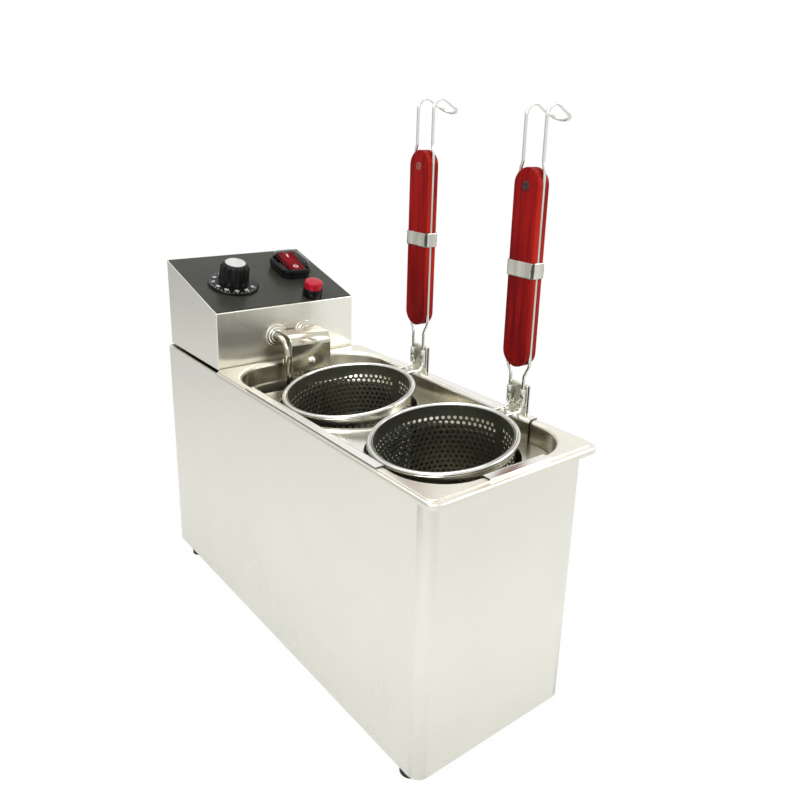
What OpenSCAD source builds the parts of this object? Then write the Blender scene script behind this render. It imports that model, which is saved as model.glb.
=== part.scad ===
// Counter-top electric noodle cooker: a water tank hung in a steel casing, a
// lift-out rack with two perforated baskets, and a control head at the rear.
// Millimetres. +Z is up, -Y is the front, the basket handles stand at +X.
// The origin is the centre of the casing's footprint, on the plane of the feet.

/* [Casing] */
// Width of the casing, across X
case_w = 164; // [158:1:180]
// Length of the casing, along Y
case_l = 444; // [438:1:470]
// Height of the casing walls
case_h = 236; // [220:1:260]
// Thickness of the casing, head and rack sheet
sheet = 1.0; // [0.8:0.1:1.2]
// Outer radius of the two front corners
case_r = 11; // [6:1:14]
// Height of the rubber feet
foot_h = 7; // [6:1:12]
// Diameter of the rubber feet
foot_d = 18; // [16:1:19]

/* [Tank] */
// Depth of the tank from its rim to its floor
tank_depth = 172; // [160:1:190]
// Thickness of the tank sheet
tank_t = 0.8; // [0.6:0.1:1.0]
// Radius of the tank's upright corners
tank_r = 43; // [30:1:46]
// Height of the tank rim above the casing
rim_rise = 5; // [4.5:0.5:8]
// Depth of the ledge that carries the rack, below the rim
ledge_drop = 20; // [18:1:24]

/* [Baskets] */
// Radius of the basket rim's centre line
basket_r = 60; // [57:0.5:61]
// Distance between the two baskets
basket_pitch = 135.8; // [132:0.1:139]
// Depth of the baskets below their rims
basket_depth = 105; // [85:1:110]
// Tilt of the hanging baskets, handle side up
basket_tilt = 7.1; // [5:0.1:8]
// Thickness of the basket sheet
basket_t = 0.7; // [0.5:0.1:1.0]
// Diameter of the basket rim wire
rim_d = 4.3; // [3.4:0.1:4.6]
// Diameter of the drain holes
drain_d = 3; // [2:0.5:4]
// Rows of drain holes
drain_rows = 5; // [4:1:8]
// Drain holes in each row
drain_round = 24; // [20:1:40]

/* [Handles] */
// Diameter of the handle wire
wire_d = 2.8; // [2.4:0.1:3.2]
// Height of the hook's bend above the casing top
hook_h = 250; // [246:1:290]
// Length of the wooden grips
grip_l = 165; // [145:1:172]
// Width of the wooden grips
grip_w = 28; // [24:0.5:30]
// Thickness of the two grip halves together
grip_t = 13; // [10:0.5:16]

/* [Head] */
// Depth of the control head, along Y
head_d = 116.6; // [114:0.2:124]
// Height of the head's front face
head_front_h = 57; // [55.4:0.1:70]
// Slope of the control panel
slope = 16.07; // [13:0.01:19]
// Gap under the head, spanned by its pressed ribs
head_gap = 2; // [1.5:0.1:5]

/* [Controls] */
// Diameter of the thermostat knob's dial
knob_d = 51.4; // [46:0.2:56]
// Height of the knob above the panel
knob_h = 25.7; // [22:0.1:30]
// Diameter of the reset button
button_d = 18.7; // [17:0.1:20]
// Travel of the reset button
button_travel = 3; // [2:0.5:4]
// Length of the power rocker, up the slope
rocker_l = 34; // [30:1:35]
// Width of the power rocker
rocker_w = 24; // [21:1:25]
// Tilt of the rocker to each side
rocker_tilt = 10; // [8:1:12]

/* [Heating] */
// Diameter of the heating tube
tube_d = 6.6; // [6:0.1:7.4]
// Distance between the two legs of the heating tube
tube_pitch = 32.9; // [31:0.1:35]
// Height of the heating tube above the tank floor
tube_lift = 26; // [22:1:29]

/* [Hidden] */
$fn = 48;

// Clearances: sliding and turning fits, slip fits, loose holes and seats
run_fit = 0.05;
slip_fit = 0.1;
loose_fit = 0.2;
weld_gap = 0.1;
seat_gap = 0.02;
cut = 1;

// Heights
top_z = foot_h + case_h;
rim_z = top_z + rim_rise;
ledge_z = rim_z - ledge_drop;
floor_z = rim_z - tank_depth;
tab_z = rim_z + sheet;
head_z = top_z + head_gap;
panel_z = head_z + head_front_h;

// Plan of the casing and the head
half_w = case_w / 2;
half_l = case_l / 2;
rear_r = 2.5;
head_x = half_w - 4;
head_front = half_l - head_d;
head_rear = half_l;
panel_l = head_d / cos(slope);

// Plan of the tank: its mouth, the ledge and the rim
mouth_x = half_w - 6.2;
mouth_front = 3.5 - half_l;
mouth_rear = head_front - 13.9;
ledge_in = 3;
rim_x = half_w + 3.75;
rim_front = -half_l - 10.7;
rim_rear = head_front - 3.9;
rim_r = 9;
rim_flat_in = 2.4;
rim_step = 1.2;
lip_z = top_z - 1;
deck_front = mouth_rear + tank_t + 2;

// Feet
foot_x = half_w - 10;
foot_y = [19 - half_l, half_l - 32];
screw_d = 4;
foot_head_d = 8;
foot_head_h = 2.2;
foot_web = 2;
nut_af = 7;
nut_h = 3.2;

// Baskets and rack
basket_inset = 76.1;
basket_front = mouth_front + basket_inset;
basket_ys = [basket_front, basket_front + basket_pitch];
rack_gap = 0.8;
rack_x = mouth_x - rack_gap;
rack_front = mouth_front + rack_gap;
rack_margin = 68.6;
rack_rear = basket_ys[1] + rack_margin;
rack_rear_r = 16;
rack_hole_r = basket_r + 4;
rack_collar_h = 2;
tab_x = rim_x - 1.25;
tab_ys = [mouth_front + 52.5, basket_ys[1] + 41.6];
tab_front = rim_front + 0.7;
front_tab_xs = [-29.5, 33];

// Handles: the wire, its sleeves, the hook plate and the grips
handle_x = half_w - 0.6;
leg_y = 7.7;
leg_z = tab_z + 0.3 + wire_d / 2;
sleeve_d = 5.2;
wire_foot_r = 5;
sleeve_zs = [leg_z + wire_foot_r, leg_z + 19.7];
plate_t = 1.2;
plate_w = 20.6;
plate_x = handle_x + sleeve_d / 2 + run_fit;
plate_bend_r = 2;
plate_top = top_z + 30.9;
plate_low = top_z - 8;
grip_y = grip_w / 2 - 1.1;
grip_edge = 1.2;
hook_y = 10.9;
hook_r = 9.9;
hook_turn = 120;
hook_run = 9.5;
hook_z = top_z + hook_h;
band_h = 13;
band_t = 0.8;
band_up = 84;
rivet_d = 5;
rivet_down = 14.6;
// One entry for each basket: height of the grip above the casing top, extra
// height of the hook, and how far the rivet stands back from the grip's faces
grip_up = [47, 53];
hook_rise = [0, 3];
rivet_sink = [1.5, -0.3];
rim_centre_z = leg_z + 0.6 - basket_r * sin(basket_tilt);

// Cup profile: a plain collar, a tapered wall and a rounded bottom
cup_r = basket_r - rim_d / 2 - run_fit;
collar_h = 7;
cup_up = 1;
taper = 4.7;
cup_round = 14;
drain_top = 14;
drain_low = 18;

// Control panel: places given as [x, distance up the slope]
panel_t = 0.8;
panel_in = 1.2;
knob_at = [42.6 - head_x, 52.3];
reset_at = [head_x - 43.4, 11.3];
switch_at = [head_x - 38, 70];
bush_d = 10;
shaft_d = 6;
shaft_top = 18;
shaft_low = -12.5;
knob_body_d = 31;
knob_gap = 0.6;
knob_z = panel_t + knob_gap;
skirt_h = 3;
cap_d = 24;
cap_t = 1.4;
thermostat_size = [40, 36, 22];
limiter_size = [20, 20, 14];
collar_d = button_d + 1.7;
collar_top = panel_t + 9;
collar_floor = 1.5;
barrel_d = 14;
barrel_low = -10;
stem_d = 8;
button_low = panel_t + collar_floor + button_travel + 0.3;
button_top = panel_t + 17;
frame_size = [37, 44, 9];
frame_r = 12;
frame_top = panel_t + frame_size[2];
pivot_n = 4.5;
pivot_d = 3;
rocker_gap = [0.8, 2.4];
switch_open = [rocker_w, rocker_l] + rocker_gap;
boot_in = 2;
boot_t = 1;
boot_h = 6;

// Heating tube, its glands and bracket, and the two sensor bulbs
tube_x = 2.25;
tube_y = mouth_rear - 11;
tube_z = floor_z + tube_lift;
tube_bend_r = 14;
tube_top_r = 18;
tube_front = mouth_front + 48;
gland_z = head_z + 26.7;
gland_d = 23;
gland_t = 3;
gland_barrel_d = 14;
lock_nut_af = 19;
lock_nut_t = 5;
bracket_t = 1.2;
bracket_x = tube_x + 7.15;
bracket_w = 45.4;
bracket_y = tube_y - tube_d / 2 - slip_fit - bracket_t;
bracket_r = 11.5;
bracket_top = gland_z + tube_d / 2 + 0.3 + bracket_t;
bracket_low = top_z - 4.3;
bracket_screw_z = top_z + 5.8;
clamp_y = tube_y + tube_d / 2 + slip_fit;
stand_w = 10;
stand_first = 39.5;
stand_pitch = 70;
stand_ys = [for (k = [0:2]) tube_y - stand_first - k * stand_pitch];
stand_x = tube_pitch / 2 + 7.5;
bulb_d = 6;
bulb_l = 90;
bulb_y = stand_ys[0] + 5;
bulb_xs = [tube_x - 3.3, tube_x + 3.3];
capillary_d = 1.6;
capillary_r = 6;
capillary_z = head_z + 11.5;

// Rear of the head: lips of the shell, cover screws and cable gland
lip_y = head_rear - 2 * sheet;
lip_w = 9;
lip_zs = [head_z + 4, roof_z(lip_y) - 3];
cover_screw_x = head_x - sheet - lip_w / 2;
cover_screw_zs = [head_z + 18, lip_zs[1] - 14];
cover_screw_d = 3;
cord_at = [-42, head_z + 18];
cord_d = 12;

steel = [0.86, 0.86, 0.83];
bright = [0.90, 0.90, 0.89];
dark_steel = [0.55, 0.56, 0.55];
black = [0.10, 0.10, 0.10];
red = [0.80, 0.10, 0.08];
wood = [0.55, 0.09, 0.09];
white = [0.93, 0.93, 0.90];
rubber = [0.12, 0.12, 0.12];

function panel_point(e, n) = [head_front + e * cos(slope) - n * sin(slope),
    panel_z + e * sin(slope) + n * cos(slope)];

function roof_z(y) = panel_z + (y - head_front) * tan(slope) - sheet / cos(slope);

module lift(z) {
    translate([0, 0, z]) children();
}

// Rectangle of half width x from y0 to y1 with radius rf in front, rr behind
module rounded(x, y0, y1, rf, rr) {
    mid = (y0 + y1) / 2;
    translate([-x, y0 + rf]) square([2 * x, y1 - rr - y0 - rf]);
    translate([rf - x, y0]) square([2 * (x - rf), mid - y0]);
    translate([rr - x, mid - 1]) square([2 * (x - rr), y1 - mid + 1]);
    for (s = [-1, 1]) {
        translate([s * (x - rf), y0 + rf]) circle(r = rf);
        translate([s * (x - rr), y1 - rr]) circle(r = rr);
    }
}

// Wire or tube bent from a table: each step is [run, roll, turn, radius].
// It sets off along +Z, and each turn bends it toward +X after the roll.
module bent(d, steps, i = 0) {
    if (i < len(steps)) {
        run = steps[i][0];
        turn = steps[i][2];
        r = steps[i][3];
        if (run > 0) cylinder(d = d, h = run);
        lift(run) rotate([0, 0, steps[i][1]]) {
            if (turn > 0)
                translate([r, 0, 0]) rotate([90, 0, 180])
                    rotate_extrude(angle = turn) translate([r, 0]) circle(d = d);
            translate([r, 0, 0]) rotate([0, turn, 0]) translate([-r, 0, 0])
                bent(d, steps, i + 1);
        }
    }
}

module on_panel(at, n = 0) {
    translate([0, head_front, panel_z]) rotate([slope, 0, 0])
        translate([at[0], at[1], n]) children();
}

// Casing and base
module casing_plan(inset) {
    rounded(half_w - inset, inset - half_l, half_l - inset, case_r - inset, rear_r - inset);
}

module casing() {
    upstand = rim_rise - tank_t;
    color(steel) difference() {
        union() {
            lift(foot_h) linear_extrude(case_h) casing_plan(0);
            lift(top_z - cut) linear_extrude(upstand + cut) intersection() {
                casing_plan(0);
                translate([-case_w, -case_l]) square([2 * case_w, case_l + mouth_rear - 2]);
            }
        }
        lift(foot_h - cut) linear_extrude(case_h + cut - sheet) casing_plan(sheet);
        lift(top_z - 2 * sheet) linear_extrude(2 * sheet + upstand + cut) intersection() {
            casing_plan(sheet);
            translate([-case_w, -case_l]) square([2 * case_w, case_l + deck_front]);
        }
        tongues(loose_fit * 2, cut);
    }
}

module base_plate() {
    flange = 10;
    vent_l = 60;
    vent_w = 4;
    vent_pitch = 24;
    color(dark_steel) lift(foot_h) difference() {
        linear_extrude(flange) casing_plan(sheet + slip_fit);
        lift(sheet) linear_extrude(flange) casing_plan(2 * sheet + slip_fit);
        at_feet() lift(-cut) cylinder(d = screw_d + 2 * loose_fit, h = sheet + 2 * cut);
        for (i = [-4:4])
            translate([-vent_l / 2, i * vent_pitch - vent_w / 2, -cut])
                cube([vent_l, vent_w, sheet + 2 * cut]);
    }
}

module at_feet() {
    for (s = [-1, 1], y = foot_y) translate([s * foot_x, y, 0]) children();
}

module rubber_feet() {
    color(rubber) at_feet() difference() {
        cylinder(d = foot_d, h = foot_h);
        lift(-cut) cylinder(d = foot_head_d + 1.5, h = foot_h - foot_web + cut);
        lift(-cut) cylinder(d = screw_d + 2 * loose_fit, h = foot_h + 2 * cut);
    }
}

module foot_screws() {
    head_top = foot_h - foot_web;
    color(bright) at_feet() {
        lift(head_top - foot_head_h) cylinder(d = foot_head_d, h = foot_head_h);
        lift(head_top - cut) cylinder(d = screw_d, h = cut + foot_web + sheet + nut_h + 2);
    }
}

module foot_nuts() {
    color(bright) at_feet() lift(foot_h + sheet) difference() {
        cylinder(d = nut_af / cos(30), h = nut_h, $fn = 6);
        lift(-cut) cylinder(d = screw_d + 2 * run_fit, h = nut_h + 2 * cut);
    }
}

// Tank
module tank_plan(grow) {
    rounded(mouth_x + grow, mouth_front - grow, mouth_rear + grow, tank_r + grow, tank_r + grow);
}

module rim_plan(inset) {
    rounded(rim_x - inset, rim_front + inset, rim_rear - inset, rim_r - inset, rim_r - inset);
}

module tank() {
    step_z = rim_z - rim_step;
    color(bright) difference() {
        union() {
            difference() {
                union() {
                    lift(lip_z) linear_extrude(step_z - lip_z) rim_plan(0);
                    lift(lip_z) linear_extrude(rim_z - lip_z) rim_plan(rim_flat_in);
                }
                lift(lip_z - cut) linear_extrude(step_z - tank_t - lip_z + cut) rim_plan(tank_t);
                lift(lip_z - cut) linear_extrude(rim_z - tank_t - lip_z + cut)
                    rim_plan(rim_flat_in + tank_t);
                translate([-rim_x - cut, rim_rear - rim_r, lip_z - cut])
                    cube([2 * rim_x + 2 * cut, rim_r + cut, top_z + 0.3 - lip_z + cut]);
            }
            lift(ledge_z - tank_t) linear_extrude(ledge_drop + tank_t) tank_plan(tank_t);
            lift(floor_z - tank_t) linear_extrude(ledge_z - floor_z) tank_plan(tank_t - ledge_in);
        }
        lift(ledge_z) linear_extrude(ledge_drop + cut) tank_plan(0);
        lift(floor_z) linear_extrude(ledge_z - floor_z + cut) tank_plan(-ledge_in);
    }
}

// Control head
module head_side(inset, over) {
    drop = inset / cos(slope);
    y0 = head_front + inset;
    y1 = head_rear + over;
    polygon([[y0, head_z - over], [y1, head_z - over],
        [y1, panel_z + (y1 - head_front) * tan(slope) - drop],
        [y0, panel_z + (y0 - head_front) * tan(slope) - drop]]);
}

module across(x0, x1) {
    translate([x0, 0, 0]) rotate([90, 0, 90]) linear_extrude(x1 - x0) children();
}

module panel_holes() {
    on_panel(knob_at, -5) cylinder(d = bush_d + 2 * loose_fit, h = 10);
    on_panel(reset_at, -5) cylinder(d = barrel_d + 2 * loose_fit, h = 10);
    on_panel(switch_at) cube([switch_open[0], switch_open[1], 10], center = true);
}

module at_glands() {
    for (s = [-1, 1]) translate([tube_x + s * tube_pitch / 2, head_front, gland_z])
        rotate([-90, 0, 0]) children();
}

module at_cover_screws() {
    for (s = [-1, 1], z = cover_screw_zs) translate([s * cover_screw_x, head_rear, z])
        rotate([-90, 0, 0]) children();
}

module head_shell() {
    color(steel) difference() {
        union() {
            difference() {
                across(-head_x, head_x) head_side(0, 0);
                across(sheet - head_x, head_x - sheet) head_side(sheet, cut);
            }
            for (s = [0, 1]) mirror([s, 0, 0])
                translate([head_x - sheet - lip_w, lip_y, lip_zs[0]])
                    cube([lip_w + sheet / 2, sheet, lip_zs[1] - lip_zs[0]]);
        }
        panel_holes();
        at_glands() lift(-cut) cylinder(d = gland_barrel_d + 2 * loose_fit, h = sheet + 2 * cut);
        capillary_slot();
        at_cover_screws() lift(-3 * sheet) cylinder(d = cover_screw_d + 2 * slip_fit, h = 2 * sheet);
    }
}

module capillary_slot() {
    gap = capillary_d + 2;
    translate([bulb_xs[0] - gap / 2, head_front - cut, capillary_z - gap / 2])
        cube([bulb_xs[1] - bulb_xs[0] + gap, sheet + 2 * cut, gap]);
}

// Locating tongues under the head, and their slots in the casing when grown
module tongues(grow, over) {
    low = 8;
    width = 14;
    y = (head_front + head_rear - sheet) / 2;
    for (s = [-1, 1])
        translate([s * 42 - width / 2 - grow, y - grow, top_z - low - over])
            cube([width + 2 * grow, sheet + 2 * grow, low + head_gap + over + sheet / 2]);
}

module head_base() {
    flange = 12;
    rib_l = 110;
    rib_w = 8;
    rib_in = 14;
    x = head_x - sheet - slip_fit;
    y0 = head_front + sheet + slip_fit;
    y1 = lip_y - slip_fit;
    color(steel) {
        translate([-x, y0, head_z]) cube([2 * x, y1 - y0, sheet]);
        for (s = [0, 1]) mirror([s, 0, 0])
            translate([x - sheet, y0, head_z]) cube([sheet, y1 - y0, flange]);
        for (y = [y0 + rib_in, y1 - rib_in - rib_w])
            translate([-rib_l / 2, y, top_z]) cube([rib_l, rib_w, head_gap + sheet / 2]);
        tongues(0, 0);
    }
}

module head_rear_cover() {
    x = head_x - sheet - slip_fit;
    y = head_rear - sheet;
    color(steel) difference() {
        translate([-x, y, head_z]) cube([2 * x, sheet, roof_z(y) - 0.2 - head_z]);
        at_cover_screws() lift(-2 * sheet) cylinder(d = cover_screw_d + 2 * loose_fit, h = 4 * sheet);
        translate([cord_at[0], y - cut, cord_at[1]]) rotate([-90, 0, 0])
            cylinder(d = cord_d + 2 * slip_fit, h = sheet + 2 * cut);
        for (i = [0:5])
            translate([8, y - cut, head_z + 16 + 5 * i]) cube([40, sheet + 2 * cut, 2]);
    }
}

module head_screws() {
    color(bright) at_cover_screws() {
        cylinder(d = 6, h = 2);
        lift(-2 * sheet - 3) cylinder(d = cover_screw_d, h = 2 * sheet + 3 + cut);
    }
}

module control_panel() {
    color(black) difference() {
        on_panel([panel_in - head_x, panel_in], seat_gap)
            cube([2 * (head_x - panel_in), panel_l - 2 * panel_in, panel_t - seat_gap]);
        panel_holes();
    }
}

module thermostat() {
    s = thermostat_size;
    color(dark_steel) on_panel(knob_at) difference() {
        union() {
            translate([-s[0] / 2, -s[1] / 2, -sheet - s[2]])
                cube([s[0], s[1], s[2] - seat_gap]);
            lift(-sheet - cut) cylinder(d = bush_d, h = sheet + cut + panel_t + 3);
        }
        lift(shaft_low - 0.5) cylinder(d = shaft_d + 2 * run_fit, h = 30);
    }
}

module thermostat_shaft() {
    color(bright) on_panel(knob_at, shaft_low) cylinder(d = shaft_d, h = shaft_top - shaft_low);
}

module thermostat_knob() {
    top = panel_t + knob_h - cap_t / 2;
    flutes = 12;
    color(black) on_panel(knob_at) difference() {
        union() {
            lift(knob_z) cylinder(d = knob_d, h = skirt_h);
            lift(knob_z) cylinder(d = knob_body_d, h = top - knob_z);
        }
        for (i = [0:flutes - 1]) rotate([0, 0, 360 * (i + 0.5) / flutes])
            translate([knob_body_d / 2 + 2, 0, knob_z + skirt_h + 2]) cylinder(d = 6, h = knob_h);
        lift(knob_z - cut) cylinder(d = bush_d + 4, h = 5 + cut);
        lift(knob_z) cylinder(d = shaft_d + 2 * run_fit, h = shaft_top + 0.2 - knob_z);
        lift(top - cap_t / 2) cylinder(d = cap_d + 2 * run_fit, h = knob_h);
    }
}

module knob_cap() {
    color(white) on_panel(knob_at, panel_t + knob_h - cap_t) cylinder(d = cap_d, h = cap_t);
}

module limiter() {
    s = limiter_size;
    color(dark_steel) on_panel(reset_at)
        translate([-s[0] / 2, -s[1] / 2, barrel_low - s[2]]) cube(s);
}

module reset_collar() {
    color(black) on_panel(reset_at) difference() {
        union() {
            lift(panel_t) cylinder(d = collar_d, h = collar_top - panel_t);
            lift(barrel_low) cylinder(d = barrel_d, h = panel_t - barrel_low + collar_floor);
        }
        lift(panel_t + collar_floor) cylinder(d = button_d + 2 * run_fit, h = collar_top);
        lift(barrel_low - cut) cylinder(d = stem_d + 2 * run_fit, h = 20);
    }
}

module reset_button() {
    stem_low = barrel_low + button_travel + 0.5;
    color(red) on_panel(reset_at) {
        lift(button_low) cylinder(d = button_d, h = button_top - button_low);
        lift(stem_low) cylinder(d = stem_d, h = button_low - stem_low + cut);
    }
}

module switch_frame() {
    s = frame_size;
    open = switch_open;
    color(black) on_panel(switch_at, panel_t) difference() {
        linear_extrude(s[2]) rounded(s[0] / 2, -s[1] / 2, s[1] / 2, frame_r, frame_r);
        translate([-open[0] / 2, -open[1] / 2, -cut]) cube([open[0], open[1], s[2] + 2 * cut]);
        lift(pivot_n - panel_t) rotate([0, 90, 0])
            cylinder(d = pivot_d + 2 * run_fit, h = open[0] + 4, center = true);
    }
}

module switch_body() {
    wall = 3;
    deep = 26;
    well = 9;
    open = switch_open;
    color(dark_steel) on_panel(switch_at, -sheet - seat_gap) difference() {
        translate([-open[0] / 2 - wall, -open[1] / 2 - wall, -deep])
            cube([open[0] + 2 * wall, open[1] + 2 * wall, deep]);
        translate([-open[0] / 2, -open[1] / 2, -well]) cube([open[0], open[1], well + cut]);
    }
}

// The rocker rests with its front end, the off side, pressed
module power_rocker() {
    l = rocker_l / 2;
    color(red) on_panel(switch_at, pivot_n) rotate([rocker_tilt, 0, 0]) {
        across(-rocker_w / 2, rocker_w / 2)
            polygon([[-l, 6], [0, 4.4], [l, 6], [l - 1, -1.5], [6, -6], [-6, -6], [1 - l, -1.5]]);
        rotate([0, 90, 0]) cylinder(d = pivot_d, h = rocker_w + rocker_gap[0] + 3, center = true);
    }
}

module switch_boot() {
    x = frame_size[0] / 2 - boot_in;
    y = frame_size[1] / 2 - boot_in;
    r = frame_r - boot_in;
    color([0.9, 0.9, 0.9, 0.4]) on_panel(switch_at, frame_top) difference() {
        linear_extrude(boot_h) rounded(x, -y, y, r, r);
        lift(-cut) linear_extrude(boot_h - boot_t + cut)
            rounded(x - boot_t, boot_t - y, y - boot_t, r - boot_t, r - boot_t);
    }
}

module terminal_block() {
    poles = 4;
    pole = 13;
    color(white) translate([0, head_rear - 40, head_z + sheet]) difference() {
        translate([-poles * pole / 2, 0, 0]) cube([poles * pole, 18, 16]);
        for (i = [0:poles - 1])
            translate([(i - (poles - 1) / 2) * pole, 0, 0]) {
                for (y = [4.5, 13.5]) translate([0, y, 8]) cylinder(d = 5, h = 9);
                translate([0, -cut, 5]) rotate([-90, 0, 0]) cylinder(d = 4, h = 20);
            }
    }
}

// Cable gland with an open bore
module cord_gland() {
    color(black) translate([cord_at[0], head_rear, cord_at[1]]) rotate([-90, 0, 0]) difference() {
        union() {
            cylinder(d = 18, h = 5, $fn = 6);
            lift(5 - 0.5) cylinder(d = 14, h = 10);
            lift(-sheet - 6) cylinder(d = cord_d, h = sheet + 6 + cut);
        }
        lift(-20) cylinder(d = 8, h = 50);
    }
}

// Heating element and sensors
module heating_element() {
    cold_end = 16;
    steps = [[cold_end + head_front - tube_y - tube_top_r, -90, 90, tube_top_r],
        [gland_z - tube_z - tube_top_r - tube_bend_r, 180, 90, tube_bend_r],
        [tube_y - tube_bend_r - tube_front - tube_pitch / 2, -90, 90, tube_pitch / 2]];
    color(dark_steel) translate([tube_x, 0, 0]) for (s = [0, 1]) mirror([s, 0, 0])
        translate([-tube_pitch / 2, head_front + cold_end, gland_z]) rotate([90, 0, 0])
            bent(tube_d, steps);
}

module element_glands() {
    color(bright) at_glands() difference() {
        union() {
            lift(-gland_t) cylinder(d = gland_d, h = gland_t);
            lift(-cut) cylinder(d = gland_barrel_d, h = cut + sheet + lock_nut_t + 2);
        }
        lift(-10) cylinder(d = tube_d + 2 * run_fit, h = 40);
    }
}

module gland_lock_nuts() {
    color(bright) at_glands() lift(sheet) difference() {
        cylinder(d = lock_nut_af / cos(30), h = lock_nut_t, $fn = 6);
        lift(-cut) cylinder(d = gland_barrel_d + 2 * run_fit, h = lock_nut_t + 2 * cut);
    }
}

module element_bracket() {
    y1 = head_front - gland_t - slip_fit;
    r = bracket_r;
    color(steel) difference() {
        across(bracket_x - bracket_w / 2, bracket_x + bracket_w / 2) {
            translate([bracket_y, bracket_low]) square([bracket_t, bracket_top - r - bracket_low]);
            translate([bracket_y + r, bracket_top - bracket_t]) square([y1 - bracket_y - r, bracket_t]);
            intersection() {
                translate([bracket_y, bracket_top - r]) square(r);
                translate([bracket_y + r, bracket_top - r]) difference() {
                    circle(r = r);
                    circle(r = r - bracket_t);
                }
            }
        }
        at_bracket_screw() lift(-cut) cylinder(d = screw_d + 2 * loose_fit, h = bracket_t + 2 * cut);
    }
}

module at_bracket_screw() {
    translate([bracket_x, bracket_y, bracket_screw_z]) rotate([-90, 0, 0]) children();
}

module clamp_bar() {
    color(steel) difference() {
        translate([tube_x - tube_pitch / 2 - 4, clamp_y, bracket_screw_z - 5])
            cube([tube_pitch + 8, bracket_t, 10]);
        at_bracket_screw() cylinder(d = screw_d + 2 * run_fit, h = 30);
    }
}

module bracket_screw() {
    head_d = 8.5;
    dome = 3.4;
    ball = (head_d * head_d / 4 + dome * dome) / (2 * dome);
    color(bright) at_bracket_screw() {
        intersection() {
            lift(ball - dome) sphere(r = ball);
            lift(-dome) cylinder(d = head_d, h = dome);
        }
        lift(-cut) cylinder(d = screw_d, h = cut + clamp_y - bracket_y + bracket_t + 1);
    }
}

module element_stand() {
    top = tube_z - tube_d / 2;
    t = sheet;
    color(steel) translate([tube_x, 0, 0]) {
        for (y = stand_ys) translate([0, y - stand_w / 2, 0]) {
            translate([-stand_x, 0, top - t]) cube([2 * stand_x, stand_w, t]);
            for (s = [-1, 1])
                translate([s * (stand_x - t / 2) - t / 2, 0, floor_z]) cube([t, stand_w, top - floor_z]);
        }
        translate([-4, stand_ys[2], top - 2 * t]) cube([8, stand_ys[0] - stand_ys[2], t]);
    }
}

// Sensor bulb and its capillary, which ends under a control at panel place at
module sensor(x, side, at, depth) {
    end = panel_point(at[1], -depth);
    bulb_z = tube_z - tube_d / 2 + bulb_d / 2 + run_fit;
    r = capillary_r;
    steps = [[tube_y - r - bulb_y, -90, 90, r],
        [capillary_z - bulb_z - 2 * r, 180, 90, r],
        [end[0] - tube_y - 2 * r, side * 90, 90, r],
        [abs(at[0] - x) - 2 * r, side * 90, 90, r],
        [end[1] - capillary_z - r - 0.3, 0, 0, r]];
    color([0.72, 0.53, 0.36]) translate([x, bulb_y, bulb_z]) rotate([-90, 0, 0]) {
        lift(-bulb_l) cylinder(d = bulb_d, h = bulb_l);
        bent(capillary_d, steps);
    }
}

module thermostat_bulb() {
    sensor(bulb_xs[0], 1, knob_at, sheet + thermostat_size[2]);
}

module limiter_bulb() {
    sensor(bulb_xs[1], -1, reset_at, limiter_size[2] - barrel_low);
}

// Rack
module basket_rack() {
    wall_h = tab_z - ledge_z;
    color(bright) {
        difference() {
            union() {
                lift(ledge_z) linear_extrude(sheet)
                    rounded(rack_x, rack_front, rack_rear, tank_r - rack_gap, rack_rear_r);
                for (y = basket_ys) translate([0, y, ledge_z])
                    cylinder(r = rack_hole_r + sheet, h = sheet + rack_collar_h);
            }
            for (y = basket_ys) translate([0, y, ledge_z - cut]) cylinder(r = rack_hole_r, h = 10);
        }
        for (s = [0, 1]) mirror([s, 0, 0]) translate([rack_x - sheet, tab_ys[0], 0]) {
            lift(ledge_z) cube([sheet, tab_ys[1] - tab_ys[0], wall_h]);
            lift(rim_z) cube([tab_x - rack_x + sheet, tab_ys[1] - tab_ys[0], sheet]);
        }
        translate([front_tab_xs[0], 0, 0]) {
            width = front_tab_xs[1] - front_tab_xs[0];
            translate([0, rack_front, ledge_z]) cube([width, sheet, wall_h]);
            translate([0, tab_front, rim_z]) cube([width, rack_front + sheet - tab_front, sheet]);
        }
    }
}

// Baskets
module in_basket(i) {
    translate([0, basket_ys[i], rim_centre_z]) rotate([0, -basket_tilt, 0]) children();
}

function cup_wall(depth) = cup_r - max(0, depth - collar_h) * tan(taper);

module cup_solid(inset, up) {
    low = inset - basket_depth;
    r = cup_round - inset;
    centre = [cup_wall(basket_depth - cup_round) - cup_round / cos(taper), low + r];
    touch = centre + r * [cos(taper), -sin(taper)];
    rotate_extrude() {
        polygon([[0, up], [0, low], [centre[0], low], centre, touch,
            [cup_r - inset, -collar_h], [cup_r - inset, up]]);
        intersection() {
            translate(centre) circle(r = r);
            translate([0, low]) square([basket_r, basket_depth]);
        }
    }
}

module cup(i) {
    pitch = (basket_depth - drain_top - drain_low) / (drain_rows - 1);
    color(bright) in_basket(i) difference() {
        cup_solid(0, cup_up);
        cup_solid(basket_t, cup_up + cut);
        for (row = [0:drain_rows - 1], k = [0:drain_round - 1])
            lift(-drain_top - row * pitch)
                rotate([0, 90, (k + (row % 2) / 2) * 360 / drain_round])
                    lift(basket_r / 2) cylinder(d = drain_d, h = basket_r);
        for (ring = [0:2], k = [0:max(0, 8 * ring - 1)])
            rotate([0, 0, ring == 0 ? 0 : k * 45 / ring])
                translate([ring * 11, 0, -basket_depth - cut]) cylinder(d = drain_d, h = 10);
    }
}

module cup_rim(i) {
    color(bright) in_basket(i) rotate_extrude() translate([basket_r, 0]) circle(d = rim_d);
}

// Frame of a handle at the low end of its grip, on the wires' plane
module on_handle(i) {
    translate([handle_x, basket_ys[i], top_z + grip_up[i]]) children();
}

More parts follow.
